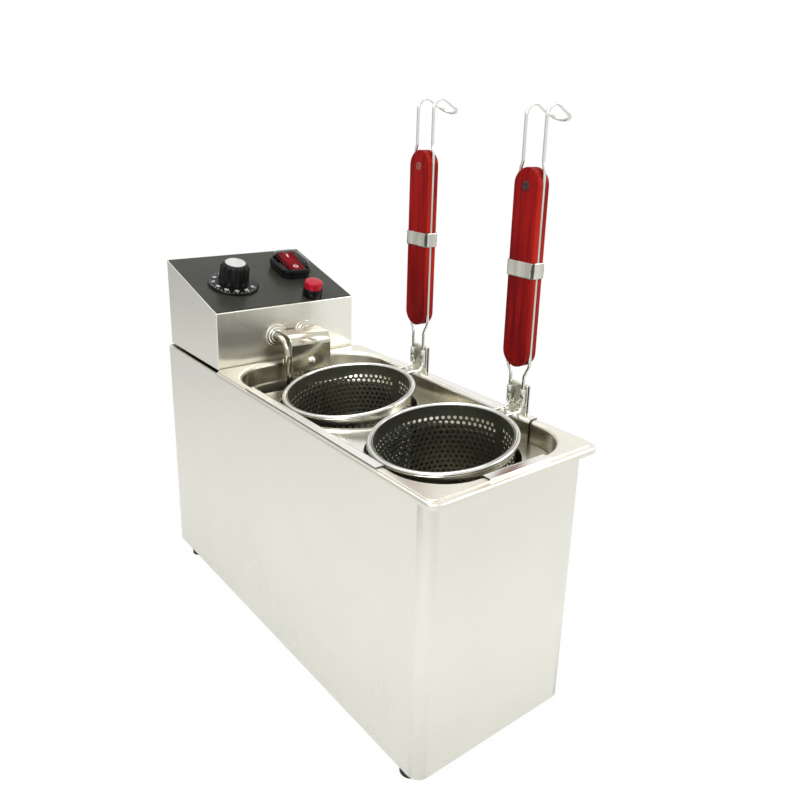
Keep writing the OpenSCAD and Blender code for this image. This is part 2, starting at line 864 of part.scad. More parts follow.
// One leg of the handle wire, at +Y of the handle's middle: out over the tab,
// up through its sleeve, along the grip and over into the hook
module wire_leg(i) {
    start_r = basket_r + rim_d / 2 + weld_gap;
    start_x = sqrt(start_r * start_r - pow(leg_y - wire_d / 2, 2)) * cos(basket_tilt) - handle_x;
    low = top_z + grip_up[i];
    high = low + grip_l;
    bends = [[0, leg_y, low - 8], [0, grip_y, low + 2], [0, grip_y, high - 2], [0, hook_y, high + 4]];
    translate([start_x, leg_y, leg_z]) rotate([0, 90, 0])
        bent(wire_d, [[-wire_foot_r - start_x, 180, 90, wire_foot_r],
            [bends[0][2] - leg_z - wire_foot_r, 0, 0, 1]]);
    for (k = [0:2]) rod(bends[k], bends[k + 1]);
    for (p = bends) knuckle(p);
    rod(bends[3], [0, hook_y, hook_z + hook_rise[i]]);
    translate([hook_r, hook_y, hook_z + hook_rise[i]]) rotate([90, 0, 180])
        rotate_extrude(angle = hook_turn) translate([hook_r, 0]) circle(d = wire_d);
    rod(hook_from(i), hook_to(i));
    knuckle(hook_from(i));
    knuckle(hook_to(i));
}

// Ends of the hook's straight run behind its bend
function hook_from(i) = [hook_r * (1 - cos(hook_turn)), hook_y,
    hook_z + hook_rise[i] + hook_r * sin(hook_turn)];

function hook_to(i) = hook_from(i) + hook_run * [sin(hook_turn), 0, cos(hook_turn)];

module rod(from, to) {
    v = to - from;
    translate(from) rotate([0, acos(v[2] / norm(v)), atan2(v[1], v[0])])
        cylinder(d = wire_d, h = norm(v));
}

module knuckle(at) {
    translate(at) sphere(d = wire_d + 2 * run_fit);
}

module handle_wire(i) {
    color(bright) translate([handle_x, basket_ys[i], 0]) {
        for (side = [0, 1]) mirror([0, side, 0]) wire_leg(i);
        translate([hook_to(i)[0], 0, hook_to(i)[2]]) rotate([0, hook_turn - 90, 0]) rotate([0, 0, -90])
            rotate_extrude(angle = 180) translate([hook_y, 0]) circle(d = wire_d);
    }
}

module sleeves(i) {
    h = sleeve_zs[1] - sleeve_zs[0];
    color(bright) translate([handle_x, basket_ys[i], sleeve_zs[0]])
        for (s = [-1, 1]) translate([0, s * leg_y, 0]) difference() {
            cylinder(d = sleeve_d, h = h);
            lift(-cut) cylinder(d = wire_d + 2 * run_fit, h = h + 2 * cut);
        }
}

// Strip folded over like an upturned U: its long leg hangs outside the tank rim
module hook_plate(i) {
    r = plate_bend_r;
    color(bright) translate([plate_x, basket_ys[i] + plate_w / 2, 0]) rotate([90, 0, 0])
        linear_extrude(plate_w) {
            translate([0, tab_z]) square([plate_t, plate_top - r - tab_z]);
            translate([2 * r - plate_t, plate_low]) square([plate_t, plate_top - r - plate_low]);
            translate([r, plate_top - r]) intersection() {
                difference() {
                    circle(r = r);
                    circle(r = r - plate_t);
                }
                translate([-r, 0]) square([2 * r, r]);
            }
        }
}

// One half of a grip, on the +X side of the wires' plane
module grip_half() {
    t = grip_t / 2;
    w = grip_w / 2;
    edge = grip_edge;
    intersection() {
        rotate([90, 0, 90]) linear_extrude(t) {
            translate([-w, w]) square([grip_w, grip_l - grip_w]);
            for (z = [w, grip_l - w]) translate([0, z]) circle(r = w);
        }
        linear_extrude(grip_l)
            polygon([[0, -w], [t - edge, -w], [t, edge - w], [t, w - edge], [t - edge, w], [0, w]]);
    }
}

module rivet_place(i) {
    on_handle(i) lift(grip_l - rivet_down) rotate([0, 90, 0]) children();
}

module grip(i, inner) {
    color(wood) difference() {
        on_handle(i) mirror([inner, 0, 0]) grip_half();
        on_handle(i) for (s = [-1, 1]) translate([0, s * grip_y, -cut])
            cylinder(d = wire_d + 2 * run_fit, h = grip_l + 2 * cut);
        rivet_place(i) cylinder(d = rivet_d + 2 * run_fit, h = 2 * grip_t, center = true);
    }
}

module grip_band(i) {
    x = grip_t / 2 + slip_fit;
    y = max(grip_w / 2, grip_y + wire_d / 2) + slip_fit;
    color(bright) on_handle(i) lift(band_up - band_h / 2)
        linear_extrude(band_h) difference() {
            rounded(x + band_t, -y - band_t, y + band_t, 3, 3);
            rounded(x, -y, y, 3 - band_t, 3 - band_t);
        }
}

module rivet(i) {
    color(dark_steel) rivet_place(i)
        cylinder(d = rivet_d, h = grip_t - 2 * rivet_sink[i], center = true);
}

module front_cup() cup(0);
module front_cup_rim() cup_rim(0);
module front_handle_wire() handle_wire(0);
module front_sleeves() sleeves(0);
module front_hook_plate() hook_plate(0);
module front_grip_outer() grip(0, 0);
module front_grip_inner() grip(0, 1);
module front_grip_band() grip_band(0);
module front_rivet() rivet(0);
module rear_cup() cup(1);
module rear_cup_rim() cup_rim(1);
module rear_handle_wire() handle_wire(1);
module rear_sleeves() sleeves(1);
module rear_hook_plate() hook_plate(1);
module rear_grip_outer() grip(1, 0);
module rear_grip_inner() grip(1, 1);
module rear_grip_band() grip_band(1);
module rear_rivet() rivet(1);

casing();
base_plate();
rubber_feet();
foot_screws();
foot_nuts();
tank();
head_shell();
head_base();
head_rear_cover();
head_screws();
control_panel();
thermostat();
thermostat_bulb();
limiter();
limiter_bulb();
reset_collar();
switch_frame();
switch_body();
switch_boot();
terminal_block();
cord_gland();
heating_element();
element_glands();
gland_lock_nuts();
element_bracket();
clamp_bar();
bracket_screw();
element_stand();
thermostat_knob();
knob_cap();
thermostat_shaft();
power_rocker();
reset_button();
basket_rack();
front_cup();
front_cup_rim();
front_handle_wire();
front_sleeves();
front_hook_plate();
front_grip_outer();
front_grip_inner();
front_grip_band();
front_rivet();
rear_cup();
rear_cup_rim();
rear_handle_wire();
rear_sleeves();
rear_hook_plate();
rear_grip_outer();
rear_grip_inner();
rear_grip_band();
rear_rivet();
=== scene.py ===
"""Looks of the two-basket noodle cooker, built over its CAD frame.

Sizes are millimetres in the row frame, and MM scales them to metres.
"""
import math

import bmesh
import bpy
from mathutils import Matrix, Vector


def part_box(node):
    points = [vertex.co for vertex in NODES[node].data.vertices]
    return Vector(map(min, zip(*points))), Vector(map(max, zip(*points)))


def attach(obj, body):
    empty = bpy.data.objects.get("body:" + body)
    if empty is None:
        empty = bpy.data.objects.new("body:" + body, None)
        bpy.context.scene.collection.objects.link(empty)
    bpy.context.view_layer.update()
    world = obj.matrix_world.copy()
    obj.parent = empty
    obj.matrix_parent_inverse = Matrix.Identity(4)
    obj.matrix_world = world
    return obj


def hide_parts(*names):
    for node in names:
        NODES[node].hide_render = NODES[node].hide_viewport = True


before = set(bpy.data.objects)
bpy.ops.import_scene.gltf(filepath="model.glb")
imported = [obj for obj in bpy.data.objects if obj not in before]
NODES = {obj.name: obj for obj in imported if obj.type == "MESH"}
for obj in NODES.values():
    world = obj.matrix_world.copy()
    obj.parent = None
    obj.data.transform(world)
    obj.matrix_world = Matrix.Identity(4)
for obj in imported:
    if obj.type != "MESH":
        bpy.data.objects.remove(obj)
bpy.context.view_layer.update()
MM = 0.001


def box_of(node):
    """Low and high corner of a CAD node in mm."""
    return [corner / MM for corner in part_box(node)]


# Baskets: the CAD's grips and rivet give the handles' places, and the cups lean about their rims
GRIP_LOW, GRIP_HIGH = box_of("front_grip_outer")
HANDLE_X = GRIP_LOW.x
GRIP_LENGTH = GRIP_HIGH.z - GRIP_LOW.z
RIVET_DROP = GRIP_HIGH.z - sum(corner.z for corner in box_of("front_rivet")) / 2
WIRE_RADIUS = 1.4
BASKET_TILT = math.radians(7.1)
CUP_RIM_Z = 243.884
BASKETS = {"front": {"hook_z": 493.0, "seam": -6.0}, "rear": {"hook_z": 496.0, "seam": 4.0}}
for which, sizes in BASKETS.items():
    grip_low, grip_high = box_of(which + "_grip_outer")
    sizes["y"] = (grip_low.y + grip_high.y) / 2
    sizes["grip_low"] = grip_low.z

# Control panel, and places across it and up its slope
HEAD_FRONT_Y = box_of("head_shell")[0].y
PANEL_LOW_Z = 302.0
PANEL_SLOPE = math.radians(16.07)
PANEL = Matrix.Translation((0, HEAD_FRONT_Y, PANEL_LOW_Z)) @ Matrix.Rotation(PANEL_SLOPE, 4, "X")
KNOB_AT = (-35.4, 52.3)
RESET_AT = (34.6, 11.3)
SWITCH_AT = (40.0, 70.0)

# Tank and rack
TANK_LOW, TANK_HIGH = box_of("tank")
RACK_LOW, RACK_HIGH = box_of("basket_rack")
RIM_TOP = TANK_HIGH.z
RACK_SHEET = 1.0
RACK_TOP = RACK_LOW.z + RACK_SHEET
SIDE_TABS_Y = (-166, 35)
FRONT_TAB_X = (-29.5, 33)

SIDEWAYS = Matrix.Rotation(math.pi / 2, 4, "Y")


# Shapes: each returns a list of points in mm and a list of faces

def turns(count, shift=0.0):
    """Angles of one turn in equal steps, the first shifted by a share of a step."""
    return [2 * math.pi * (k + shift) / count for k in range(count)]


def lathe(profile, sides=64):
    """Profile of (radius, height) turned about Z. A radius of 0 closes to a point."""
    points, faces, rings = [], [], []
    for radius, height in profile:
        if radius == 0:
            points.append((0, 0, height))
            rings.append([len(points) - 1] * sides)
            continue
        rings.append(range(len(points), len(points) + sides))
        for angle in turns(sides):
            points.append((radius * math.cos(angle), radius * math.sin(angle), height))
    for low, high in zip(rings, rings[1:]):
        for k in range(sides):
            j = (k + 1) % sides
            corners = [low[k], low[j], high[j], high[k]]
            faces.append(list(dict.fromkeys(corners)))
    return points, faces


def loft(sections, looped=False):
    """Skin over sections of equally many points, closed by its two ends or in a loop."""
    count = len(sections[0])
    points = [point for section in sections for point in section]
    starts = range(0, len(points), count)
    pairs = list(zip(starts, starts[1:]))
    if looped:
        pairs.append((starts[-1], 0))
    faces = []
    for low, high in pairs:
        for k in range(count):
            j = (k + 1) % count
            faces.append([low + k, low + j, high + j, high + k])
    if not looped:
        faces.append(list(range(count))[::-1])
        faces.append([starts[-1] + k for k in range(count)])
    return points, faces


def sweep(path, radius, sides=16):
    """Round wire along a list of points."""
    path = [Vector(p) for p in path]
    normal = (path[1] - path[0]).orthogonal().normalized()
    sections = []
    for i, point in enumerate(path):
        ahead = path[min(i + 1, len(path) - 1)] - path[max(i - 1, 0)]
        ahead.normalize()
        normal = (normal - ahead * normal.dot(ahead)).normalized()
        side = ahead.cross(normal)
        sections.append([point + radius * (math.cos(angle) * normal + math.sin(angle) * side)
                         for angle in turns(sides)])
    return loft(sections)


def fillet(points, radius, steps=8):
    """Path through points with each inner corner rounded to a radius, or less where a side is short."""
    most = 0.48
    points = [Vector(p) for p in points]
    path = [points[0]]
    for before, corner, after in zip(points, points[1:], points[2:]):
        back = (before - corner).normalized()
        ahead = (after - corner).normalized()
        half = back.angle(ahead) / 2
        room = most * min((before - corner).length, (after - corner).length)
        reach = min(radius / math.tan(half), room)
        arc_radius = reach * math.tan(half)
        centre = corner + (back + ahead).normalized() * (arc_radius / math.sin(half))
        start = corner + back * reach - centre
        end = corner + ahead * reach - centre
        for k in range(steps + 1):
            path.append(centre + start.lerp(end, k / steps).normalized() * arc_radius)
    path.append(points[-1])
    return path


def plan(half_x, front, rear, radius, height, rear_radius=None, steps=14):
    """Rectangle from front to rear at a height, with rounded corners."""
    rear_radius = rear_radius or radius
    corners = ((1, rear, 1, rear_radius, 0), (-1, rear, 1, rear_radius, 90),
               (-1, front, -1, radius, 180), (1, front, -1, radius, 270))
    points = []
    for side, end, outward, bend, start in corners:
        for k in range(steps + 1):
            angle = math.radians(start + 90 * k / steps)
            points.append((side * (half_x - bend) + bend * math.cos(angle),
                           end - outward * bend + bend * math.sin(angle), height))
    return points


def oblong(half_x, half_y, radius, height, steps=8):
    """Rounded rectangle about the origin at a height."""
    return plan(half_x, -half_y, half_y, radius, height, steps=steps)


def joined(*shapes):
    """Several shapes as one."""
    points, faces = [], []
    for shape_points, shape_faces in shapes:
        faces += [[i + len(points) for i in face] for face in shape_faces]
        points += shape_points
    return points, faces


def placed(matrix, shape):
    """Shape moved by a matrix in mm."""
    return [matrix @ Vector(p) for p in shape[0]], shape[1]


def on_panel(at, height=0.0, turn=0.0):
    """Matrix of a place on the sloping control panel."""
    return PANEL @ Matrix.Translation((at[0], at[1], height)) @ Matrix.Rotation(turn, 4, "Z")


# Pieces

def linked(name, data):
    """New object in the scene."""
    obj = bpy.data.objects.new(name, data)
    bpy.context.scene.collection.objects.link(obj)
    return obj


def finished(work, name):
    """New mesh from a work mesh, which is freed."""
    mesh = bpy.data.meshes.new(name)
    work.to_mesh(mesh)
    work.free()
    return mesh


def object_of(name, mesh, *materials):
    """New object in the scene, whose faces keep the numbers of their materials."""
    numbers = [face.material_index for face in mesh.polygons]
    mesh.materials.clear()
    for material in materials:
        mesh.materials.append(material)
    mesh.polygons.foreach_set("material_index", numbers)
    return linked(name, mesh)


def mesh_of(name, shape, smooth=35):
    """Mesh of a shape in mm, smooth up to an angle between faces."""
    mesh = bpy.data.meshes.new(name)
    mesh.from_pydata([Vector(p) * MM for p in shape[0]], [], shape[1])
    work = bmesh.new()
    work.from_mesh(mesh)
    bmesh.ops.remove_doubles(work, verts=work.verts, dist=1e-7)
    bmesh.ops.recalc_face_normals(work, faces=work.faces)
    work.to_mesh(mesh)
    work.free()
    shade(mesh, smooth)
    return mesh


def shade(mesh, smooth):
    """Smooth a mesh but for edges sharper than an angle in degrees."""
    mesh.polygons.foreach_set("use_smooth", [True] * len(mesh.polygons))
    mesh.set_sharp_from_angle(angle=math.radians(smooth))


def piece(name, shape, materials, body, replaces=(), smooth=35):
    """Piece of the object that rides a body and may stand for CAD nodes."""
    mesh = shape if isinstance(shape, bpy.types.Mesh) else mesh_of(name, shape, smooth)
    if not isinstance(materials, tuple):
        materials = (materials,)
    obj = object_of(name, mesh, *materials)
    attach(obj, body)
    if replaces:
        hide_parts(*replaces)
    return obj


def settled(obj):
    """Mesh of an object with its modifiers applied. The object is removed."""
    mesh = bpy.data.meshes.new_from_object(
        obj.evaluated_get(bpy.context.evaluated_depsgraph_get()))
    bpy.data.objects.remove(obj)
    return mesh


def thickened(obj, thickness, **settings):
    """Mesh of a sheet that is thickened behind its faces. The object is removed."""
    sheet = obj.modifiers.new("sheet", "SOLIDIFY")
    sheet.thickness = thickness * MM
    sheet.offset = -1
    for name, value in settings.items():
        setattr(sheet, name, value)
    return settled(obj)


def closed_edges(work, verts):
    """Edges around a closed list of vertices."""
    pairs = zip(verts, verts[1:] + verts[:1])
    return [work.edges.get(pair) or work.edges.new(pair) for pair in pairs]


def paint(material, *names):
    """Give CAD nodes a material."""
    for name in names:
        mesh = NODES[name].data
        mesh.materials.clear()
        mesh.materials.append(material)


def soften(width, *names, segments=2, angle=40):
    """Round the sharp edges of CAD nodes with modifiers."""
    for name in names:
        node = NODES[name]
        weld = node.modifiers.new("weld", "WELD")
        weld.merge_threshold = 0.00002
        bevel = node.modifiers.new("soft_edges", "BEVEL")
        bevel.width = width * MM
        bevel.segments = segments
        bevel.limit_method = "ANGLE"
        bevel.angle_limit = math.radians(angle)
        bevel.harden_normals = True


# Materials

def combine(tree, operation, first, second):
    """Result of a math node on two sockets or numbers."""
    node = tree.nodes.new("ShaderNodeMath")
    node.operation = operation
    for socket, value in zip(node.inputs, (first, second)):
        if isinstance(value, (int, float)):
            socket.default_value = value
        else:
            tree.links.new(value, socket)
    return node.outputs[0]


def eased(tree, value, start, end, low, high):
    """Value from low to high as another goes from start to end."""
    node = tree.nodes.new("ShaderNodeMapRange")
    for key, number in (("From Min", start), ("From Max", end), ("To Min", low), ("To Max", high)):
        node.inputs[key].default_value = number
    tree.links.new(value, node.inputs["Value"])
    return node.outputs["Result"]


class Look:
    """A material and short ways to add nodes to it."""

    def __init__(self, name, **sockets):
        self.material = bpy.data.materials.new(name)
        self.material.use_nodes = True
        self.tree = self.material.node_tree
        self.shader = self.tree.nodes["Principled BSDF"]
        for key, value in sockets.items():
            self.shader.inputs[key.replace("_", " ")].default_value = value

    def add(self, kind, links=(), **inputs):
        node = self.tree.nodes.new("ShaderNode" + kind)
        for key, value in inputs.items():
            node.inputs[key.replace("_", " ")].default_value = value
        for key, source in dict(links).items():
            self.tree.links.new(source, node.inputs[key])
        return node

    def link(self, source, socket):
        self.tree.links.new(source, self.shader.inputs[socket])

    def coords(self, scale=1):
        """Object coordinates in metres, stretched by one scale or by one along each axis."""
        scale = scale if isinstance(scale, tuple) else (scale,) * 3
        place = self.add("TexCoord").outputs["Object"]
        return self.add("Mapping", {"Vector": place}, Scale=scale).outputs["Vector"]

    def noise(self, scale, detail=3.0):
        """Noise from 0 to 1 whose grain is 1/scale metres."""
        return self.add("TexNoise", {"Vector": self.coords(scale)}, Scale=1.0,
                        Detail=detail).outputs["Fac"]

    def ramp(self, factor, low, high, start=0.3, end=0.7):
        """Colour from low to high as the factor goes from start to end."""
        node = self.add("ValToRGB", {"Fac": factor})
        for stop, place, colour in zip(node.color_ramp.elements, (start, end), (low, high)):
            stop.position = place
            stop.color = (*colour, 1)
        return node.outputs["Color"]

    def span(self, factor, low, high):
        """Value from low to high over the middle of a noise."""
        return eased(self.tree, factor, 0.3, 0.7, low, high)

    def product(self, first, second):
        """One colour multiplied by another."""
        node = self.add("Mix")
        node.data_type = "RGBA"
        node.blend_type = "MULTIPLY"
        node.inputs["Factor"].default_value = 1.0
        self.tree.links.new(first, node.inputs["A"])
        self.tree.links.new(second, node.inputs["B"])
        return node.outputs["Result"]

    def calc(self, operation, first, second=0):
        """Result of a math node on sockets or numbers."""
        return combine(self.tree, operation, first, second)

    def place(self):
        """Object coordinates X, Y and Z in metres."""
        return self.add("SeparateXYZ", {0: self.coords()}).outputs

    def facing(self):
        """Parts X, Y and Z of the surface's direction."""
        return self.add("SeparateXYZ", {0: self.add("TexCoord").outputs["Normal"]}).outputs

    def roughen(self, factor, rough):
        """Roughness that varies a little about a value."""
        self.link(self.span(factor, rough * 0.85, min(1.0, rough * 1.15)), "Roughness")

    def bump(self, height, strength, distance):
        """Fine relief. The distance is in mm."""
        node = self.add("Bump", {"Height": height}, Strength=strength, Distance=distance * MM)
        self.link(node.outputs["Normal"], "Normal")


WHITE = (1, 1, 1)


def around(tint, share):
    """Darker and lighter neighbours of a tint."""
    return [c * (1 - share) for c in tint], [min(1.0, c * (1 + share)) for c in tint]


def painted_shade_below(look, top):
    """Light left below a height in metres, as painted shade."""
    fade = 0.01
    return look.ramp(look.place()["Z"], (0.3, 0.28, 0.24), WHITE, top - fade, top)


def painted_gap_shade(look, half_x, low_y, low_z):
    """Painted shade in the gap below the head: light left within a half width, behind a place along Y and
    above a height, in metres.
    """
    place = look.place()
    in_gap_shade = look.calc("LESS_THAN", look.calc("ABSOLUTE", place["X"]), half_x)
    for axis, start in (("Y", low_y), ("Z", low_z)):
        in_gap_shade = look.calc("MULTIPLY", in_gap_shade, look.calc("GREATER_THAN", place[axis], start))
    return look.ramp(in_gap_shade, WHITE, (0.05, 0.05, 0.04), 0, 1)


def painted_corner_reflection(look, share):
    """Light left on upright corners, which face between X and Y, as a painted dark reflection."""
    facing = look.facing()
    slant = look.calc("ABSOLUTE", look.calc("MULTIPLY", facing["X"], facing["Y"]))
    return look.ramp(slant, WHITE, [share] * 3, 0.1, 0.4)


def steel(name, tint, rough, grain, streak=0.02, relief=0.006, marks=0.05, shade_below_height=None, shade_gap_place=None,
          corners=None):
    """Stainless steel with streaks, whose grain is a fineness per metre or one for each axis.

    Below a given height it is darker with painted shade. Within a half width, behind and above
    a place given as (x, y, z), it is dark with painted shade of the gap below the head. Upright
    corners keep a share of light, as a painted dark reflection.
    """
    look = Look(name, Base_Color=(*tint, 1), Metallic=1.0, Roughness=rough)
    lines = look.noise(grain)
    cloud = look.noise(11, 2.0)
    handled = look.ramp(cloud, [1 - marks] * 3, WHITE)
    colour = look.product(look.ramp(lines, *around(tint, streak)), handled)
    if shade_below_height:
        colour = look.product(colour, painted_shade_below(look, shade_below_height))
    if shade_gap_place:
        colour = look.product(colour, painted_gap_shade(look, *shade_gap_place))
    if corners:
        colour = look.product(colour, painted_corner_reflection(look, corners))
    look.link(colour, "Base Color")
    look.roughen(cloud, rough)
    look.bump(lines, relief, 0.2)
    return look.material


def plastic(name, tint, rough, speckle=0.1, relief=0.05, **sockets):
    """Moulded plastic or rubber with a fine spark-eroded grain."""
    look = Look(name, Base_Color=(*tint, 1), Roughness=rough, **sockets)
    fine = look.noise(1800, 2.0)
    cloud = look.noise(60, 2.0)
    look.link(look.ramp(cloud, *around(tint, speckle)), "Base Color")
    look.roughen(fine, rough)
    look.bump(fine, relief, 0.1)
    return look.material


def stained_wood(name):
    """Red-stained hardwood with its grain along Z, with a painted orange highlight on its edges."""
    look = Look(name, Base_Color=(0.24, 0.009, 0.009, 1), Roughness=0.5, Specular_IOR_Level=0.07)
    drift = look.noise((60, 60, 9), 3.0)
    pores = look.noise((700, 700, 14), 4.0)
    stain = look.ramp(drift, (0.16, 0.003, 0.004), (0.32, 0.009, 0.008), 0.36, 0.64)
    dark = look.ramp(pores, (0.6, 0.5, 0.5), WHITE, 0.34, 0.55)
    # Painted highlight: lighter orange on faces toward Y, the grip's edges
    edge = look.calc("ABSOLUTE", look.facing()["Y"])
    edge_highlight = look.ramp(edge, WHITE, (1.5, 2.6, 1.5), 0.25, 0.75)
    look.link(look.product(look.product(stain, dark), edge_highlight), "Base Color")
    look.link(look.span(pores, 0.55, 0.42), "Roughness")
    look.bump(pores, 0.1, 0.1)
    return look.material


def lit_plastic(name, middle, glow, dim):
    """Red lens with a painted glow, brightest along its middle, at X in metres."""
    look = Look(name, Roughness=0.15, Specular_IOR_Level=0.05)
    off = look.calc("ABSOLUTE", look.calc("SUBTRACT", look.place()["X"], middle))
    cloud = look.ramp(look.noise(250, 2.0), (0.8, 0.8, 0.8), WHITE)
    look.link(look.product(look.ramp(off, glow, dim, 0.003, 0.0105), cloud), "Base Color")
    return look.material


# Painted shade on the casing's top, in the gap below the head
CASING = steel("casing_steel", (0.83, 0.825, 0.745), 0.30, (5, 5, 2200), 0.015, 0.004,
               shade_gap_place=(0.0797, 0.105, 0.2426))
HEAD = steel("head_steel", (0.88, 0.87, 0.78), 0.25, (5, 5, 2200))
RACK = steel("rack_steel", (0.87, 0.86, 0.80), 0.24, (900, 5, 900))
# Painted shade: the tank is darker below the rack's ledge
TANK = steel("tank_steel", (0.84, 0.815, 0.72), 0.31, (900, 900, 6), shade_below_height=0.227)
# Painted shade on upright walls inside the mouth, where they reflect the dark inside
SHADED_WALL = steel("painted_shade_wall", (0.57, 0.54, 0.43), 0.24, (900, 900, 6), 0.06, 0.01, 0.3, shade_below_height=0.232)
# Painted shadow of the gap beneath the rack's tab edges
SHADOW_LINE = steel("painted_shadow_line", (0.10, 0.095, 0.08), 0.5, 900, 0.2, 0.02)
BRACKET = steel("bracket_steel", (0.60, 0.575, 0.47), 0.20, (900, 900, 8), 0.04)
POLISHED = steel("polished_steel", (0.80, 0.79, 0.74), 0.25, 700)
CUP = steel("cup_steel", (0.66, 0.64, 0.56), 0.26, 160, 0.04, 0.01)
# Painted shade: a darker copy of the cup steel for the cups' inside
SHADED_CUP_INSIDE = steel("cup_inside_painted_shade", (0.33, 0.33, 0.27), 0.36, 160, 0.08, 0.01)
WIRE = steel("wire_steel", (0.72, 0.72, 0.68), 0.16, 120, 0.02, 0.002)
# The band's upright corners are darkened with a painted dark reflection
BAND = steel("band_steel", (0.80, 0.79, 0.70), 0.16, (110, 110, 14), 0.22, 0.01, corners=0.1)
FITTING = steel("fitting_steel", (0.70, 0.69, 0.60), 0.28, (400, 400, 60), 0.03)
TUBE = steel("tube_steel", (0.47, 0.44, 0.37), 0.17, 250, 0.08, 0.01)
COPPER = steel("copper", (0.30, 0.20, 0.13), 0.35, 500, 0.10, 0.01)
BLACK = plastic("black_plastic", (0.005, 0.005, 0.005), 0.28, Specular_IOR_Level=0.18)
PANEL_FILM = plastic("panel_film", (0.029, 0.030, 0.021), 0.30, 0.12, Specular_IOR_Level=0.19)
PALE = plastic("pale_plastic", (0.56, 0.56, 0.54), 0.35)
MARK = plastic("white_print", (0.70, 0.70, 0.67), 0.5, 0.03)
RED = plastic("red_plastic", (0.43, 0.004, 0.022), 0.25, 0.06, Specular_IOR_Level=0.22)
LENS = lit_plastic("rocker_red", 0.040, (0.26, 0.002, 0.008), (0.02, 0.001, 0.002))
CLEAR = plastic("clear_silicone", (0.84, 0.84, 0.84), 0.03, 0.01, 0.0,
                Transmission_Weight=1.0, IOR=1.02)
RUBBER = plastic("black_rubber", (0.012, 0.012, 0.012), 0.62, 0.2, 0.2, Specular_IOR_Level=0.3)
# Painted shade of a sunk rivet, for the front basket's rivet head
SHADED_RIVET = plastic("rivet_painted_shade", (0.030, 0.012, 0.010), 0.6, 0.3, 0.2)
PLUG = plastic("brown_rivet", (0.30, 0.062, 0.045), 0.45, 0.25, 0.15)
WOOD = stained_wood("red_wood")


# Baskets
CUP_HOLE = 1.65
CUP_SHEET = 0.7


def cup_profile():
    """Outside of a cup as (radius, height, length along it), from the top to the edge of its base."""
    rim_radius, lip, collar, depth, bend = 57.8, 1.0, 7.0, 105.0, 14.0
    taper, steps = math.radians(4.7), 12
    wall_radius = rim_radius - (depth - bend - collar) * math.tan(taper)
    base_radius = wall_radius - bend / math.cos(taper)
    points = [(rim_radius, lip), (rim_radius, -collar)]
    for k in range(steps + 1):
        angle = -taper - (math.pi / 2 - taper) * k / steps
        points.append((base_radius + bend * math.cos(angle), bend - depth + bend * math.sin(angle)))
    run = 0.0
    profile = [(*points[0], run)]
    for start, end in zip(points, points[1:]):
        run += math.hypot(end[0] - start[0], end[1] - start[1])
        profile.append((*end, run))
    return profile


def along(profile, run):
    """Radius and height of a profile at a length along it."""
    for start, end in zip(profile, profile[1:]):
        if run <= end[2]:
            share = (run - start[2]) / (end[2] - start[2])
            return start[0] + share * (end[0] - start[0]), start[1] + share * (end[1] - start[1])
    return profile[-1][:2]


def drilled_side(work, profile, seam):
    """Side of a cup with staggered rows of holes but for a strip at its seam, in degrees.

    Each hole lies in a cell of six corners, two steps of a ring wide. Returns the lowest ring.
    """
    cells, rows, first_row, pitch, seam_half = 68, 19, 9.6, 4.65, 5.5
    steps = 2 * cells
    plain = [0.0, 4.0, 8.0]
    runs = plain + [first_row + pitch * k for k in range(rows + 1)]
    runs += [runs[-1] + (profile[-1][2] - runs[-1]) * k / 3 for k in (1, 2, 3)]

    def vertex(angle, run):
        radius, height = along(profile, run)
        return work.verts.new((radius * MM * math.cos(angle), radius * MM * math.sin(angle), height * MM))

    def drill(cell, centre, run):
        """Faces between the corners of a cell and its round hole."""
        sides, start = 12, math.radians(135)
        radius = along(profile, run)[0]
        angles = [turn + start for turn in turns(sides, 0.5)]
        hole = [vertex(centre + CUP_HOLE * math.cos(angle) / radius, run - CUP_HOLE * math.sin(angle))
                for angle in angles]
        for k in range(6):
            arc = [hole[(2 * k + step) % sides] for step in (2, 1, 0)]
            work.faces.new([cell[k], cell[(k + 1) % 6]] + arc)

    rings = [[vertex(math.pi * k / cells, run) for k in range(steps)] for run in runs]
    for i, (upper, lower) in enumerate(zip(rings, rings[1:])):
        row = i - len(plain)
        if not 0 <= row < rows:
            for k in range(steps):
                j = (k + 1) % steps
                work.faces.new((upper[k], lower[k], lower[j], upper[j]))
            continue
        for first in range(row % 2, steps, 2):
            left, middle, right = ((first + step) % steps for step in range(3))
            cell = [upper[left], lower[left], lower[middle], lower[right], upper[right], upper[middle]]
            centre = math.pi * (first + 1) / cells
            off = math.degrees(math.remainder(centre - math.radians(seam), 2 * math.pi))
            if abs(off) < seam_half:
                work.faces.new(cell)
            else:
                drill(cell, centre, (runs[i] + runs[i + 1]) / 2)
    return rings[-1]


def drilled_base(work, ring, radius, height):
    """Flat base within a ring of vertices, with holes on a triangular grid."""
    grid, reach, margin, hole_sides = 5.4, 8, 3.5, 10
    edges = closed_edges(work, ring)
    for row in range(-reach, reach + 1):
        for column in range(-reach, reach + 1):
            x = (column + (row % 2) / 2) * grid
            y = row * grid * math.sqrt(3) / 2
            if math.hypot(x, y) > radius - margin:
                continue
            hole = [work.verts.new(((x + CUP_HOLE * math.cos(angle)) * MM,
                                    (y + CUP_HOLE * math.sin(angle)) * MM, height * MM))
                    for angle in turns(hole_sides)]
            edges += closed_edges(work, hole)
    bmesh.ops.triangle_fill(work, edges=edges, use_beauty=True)


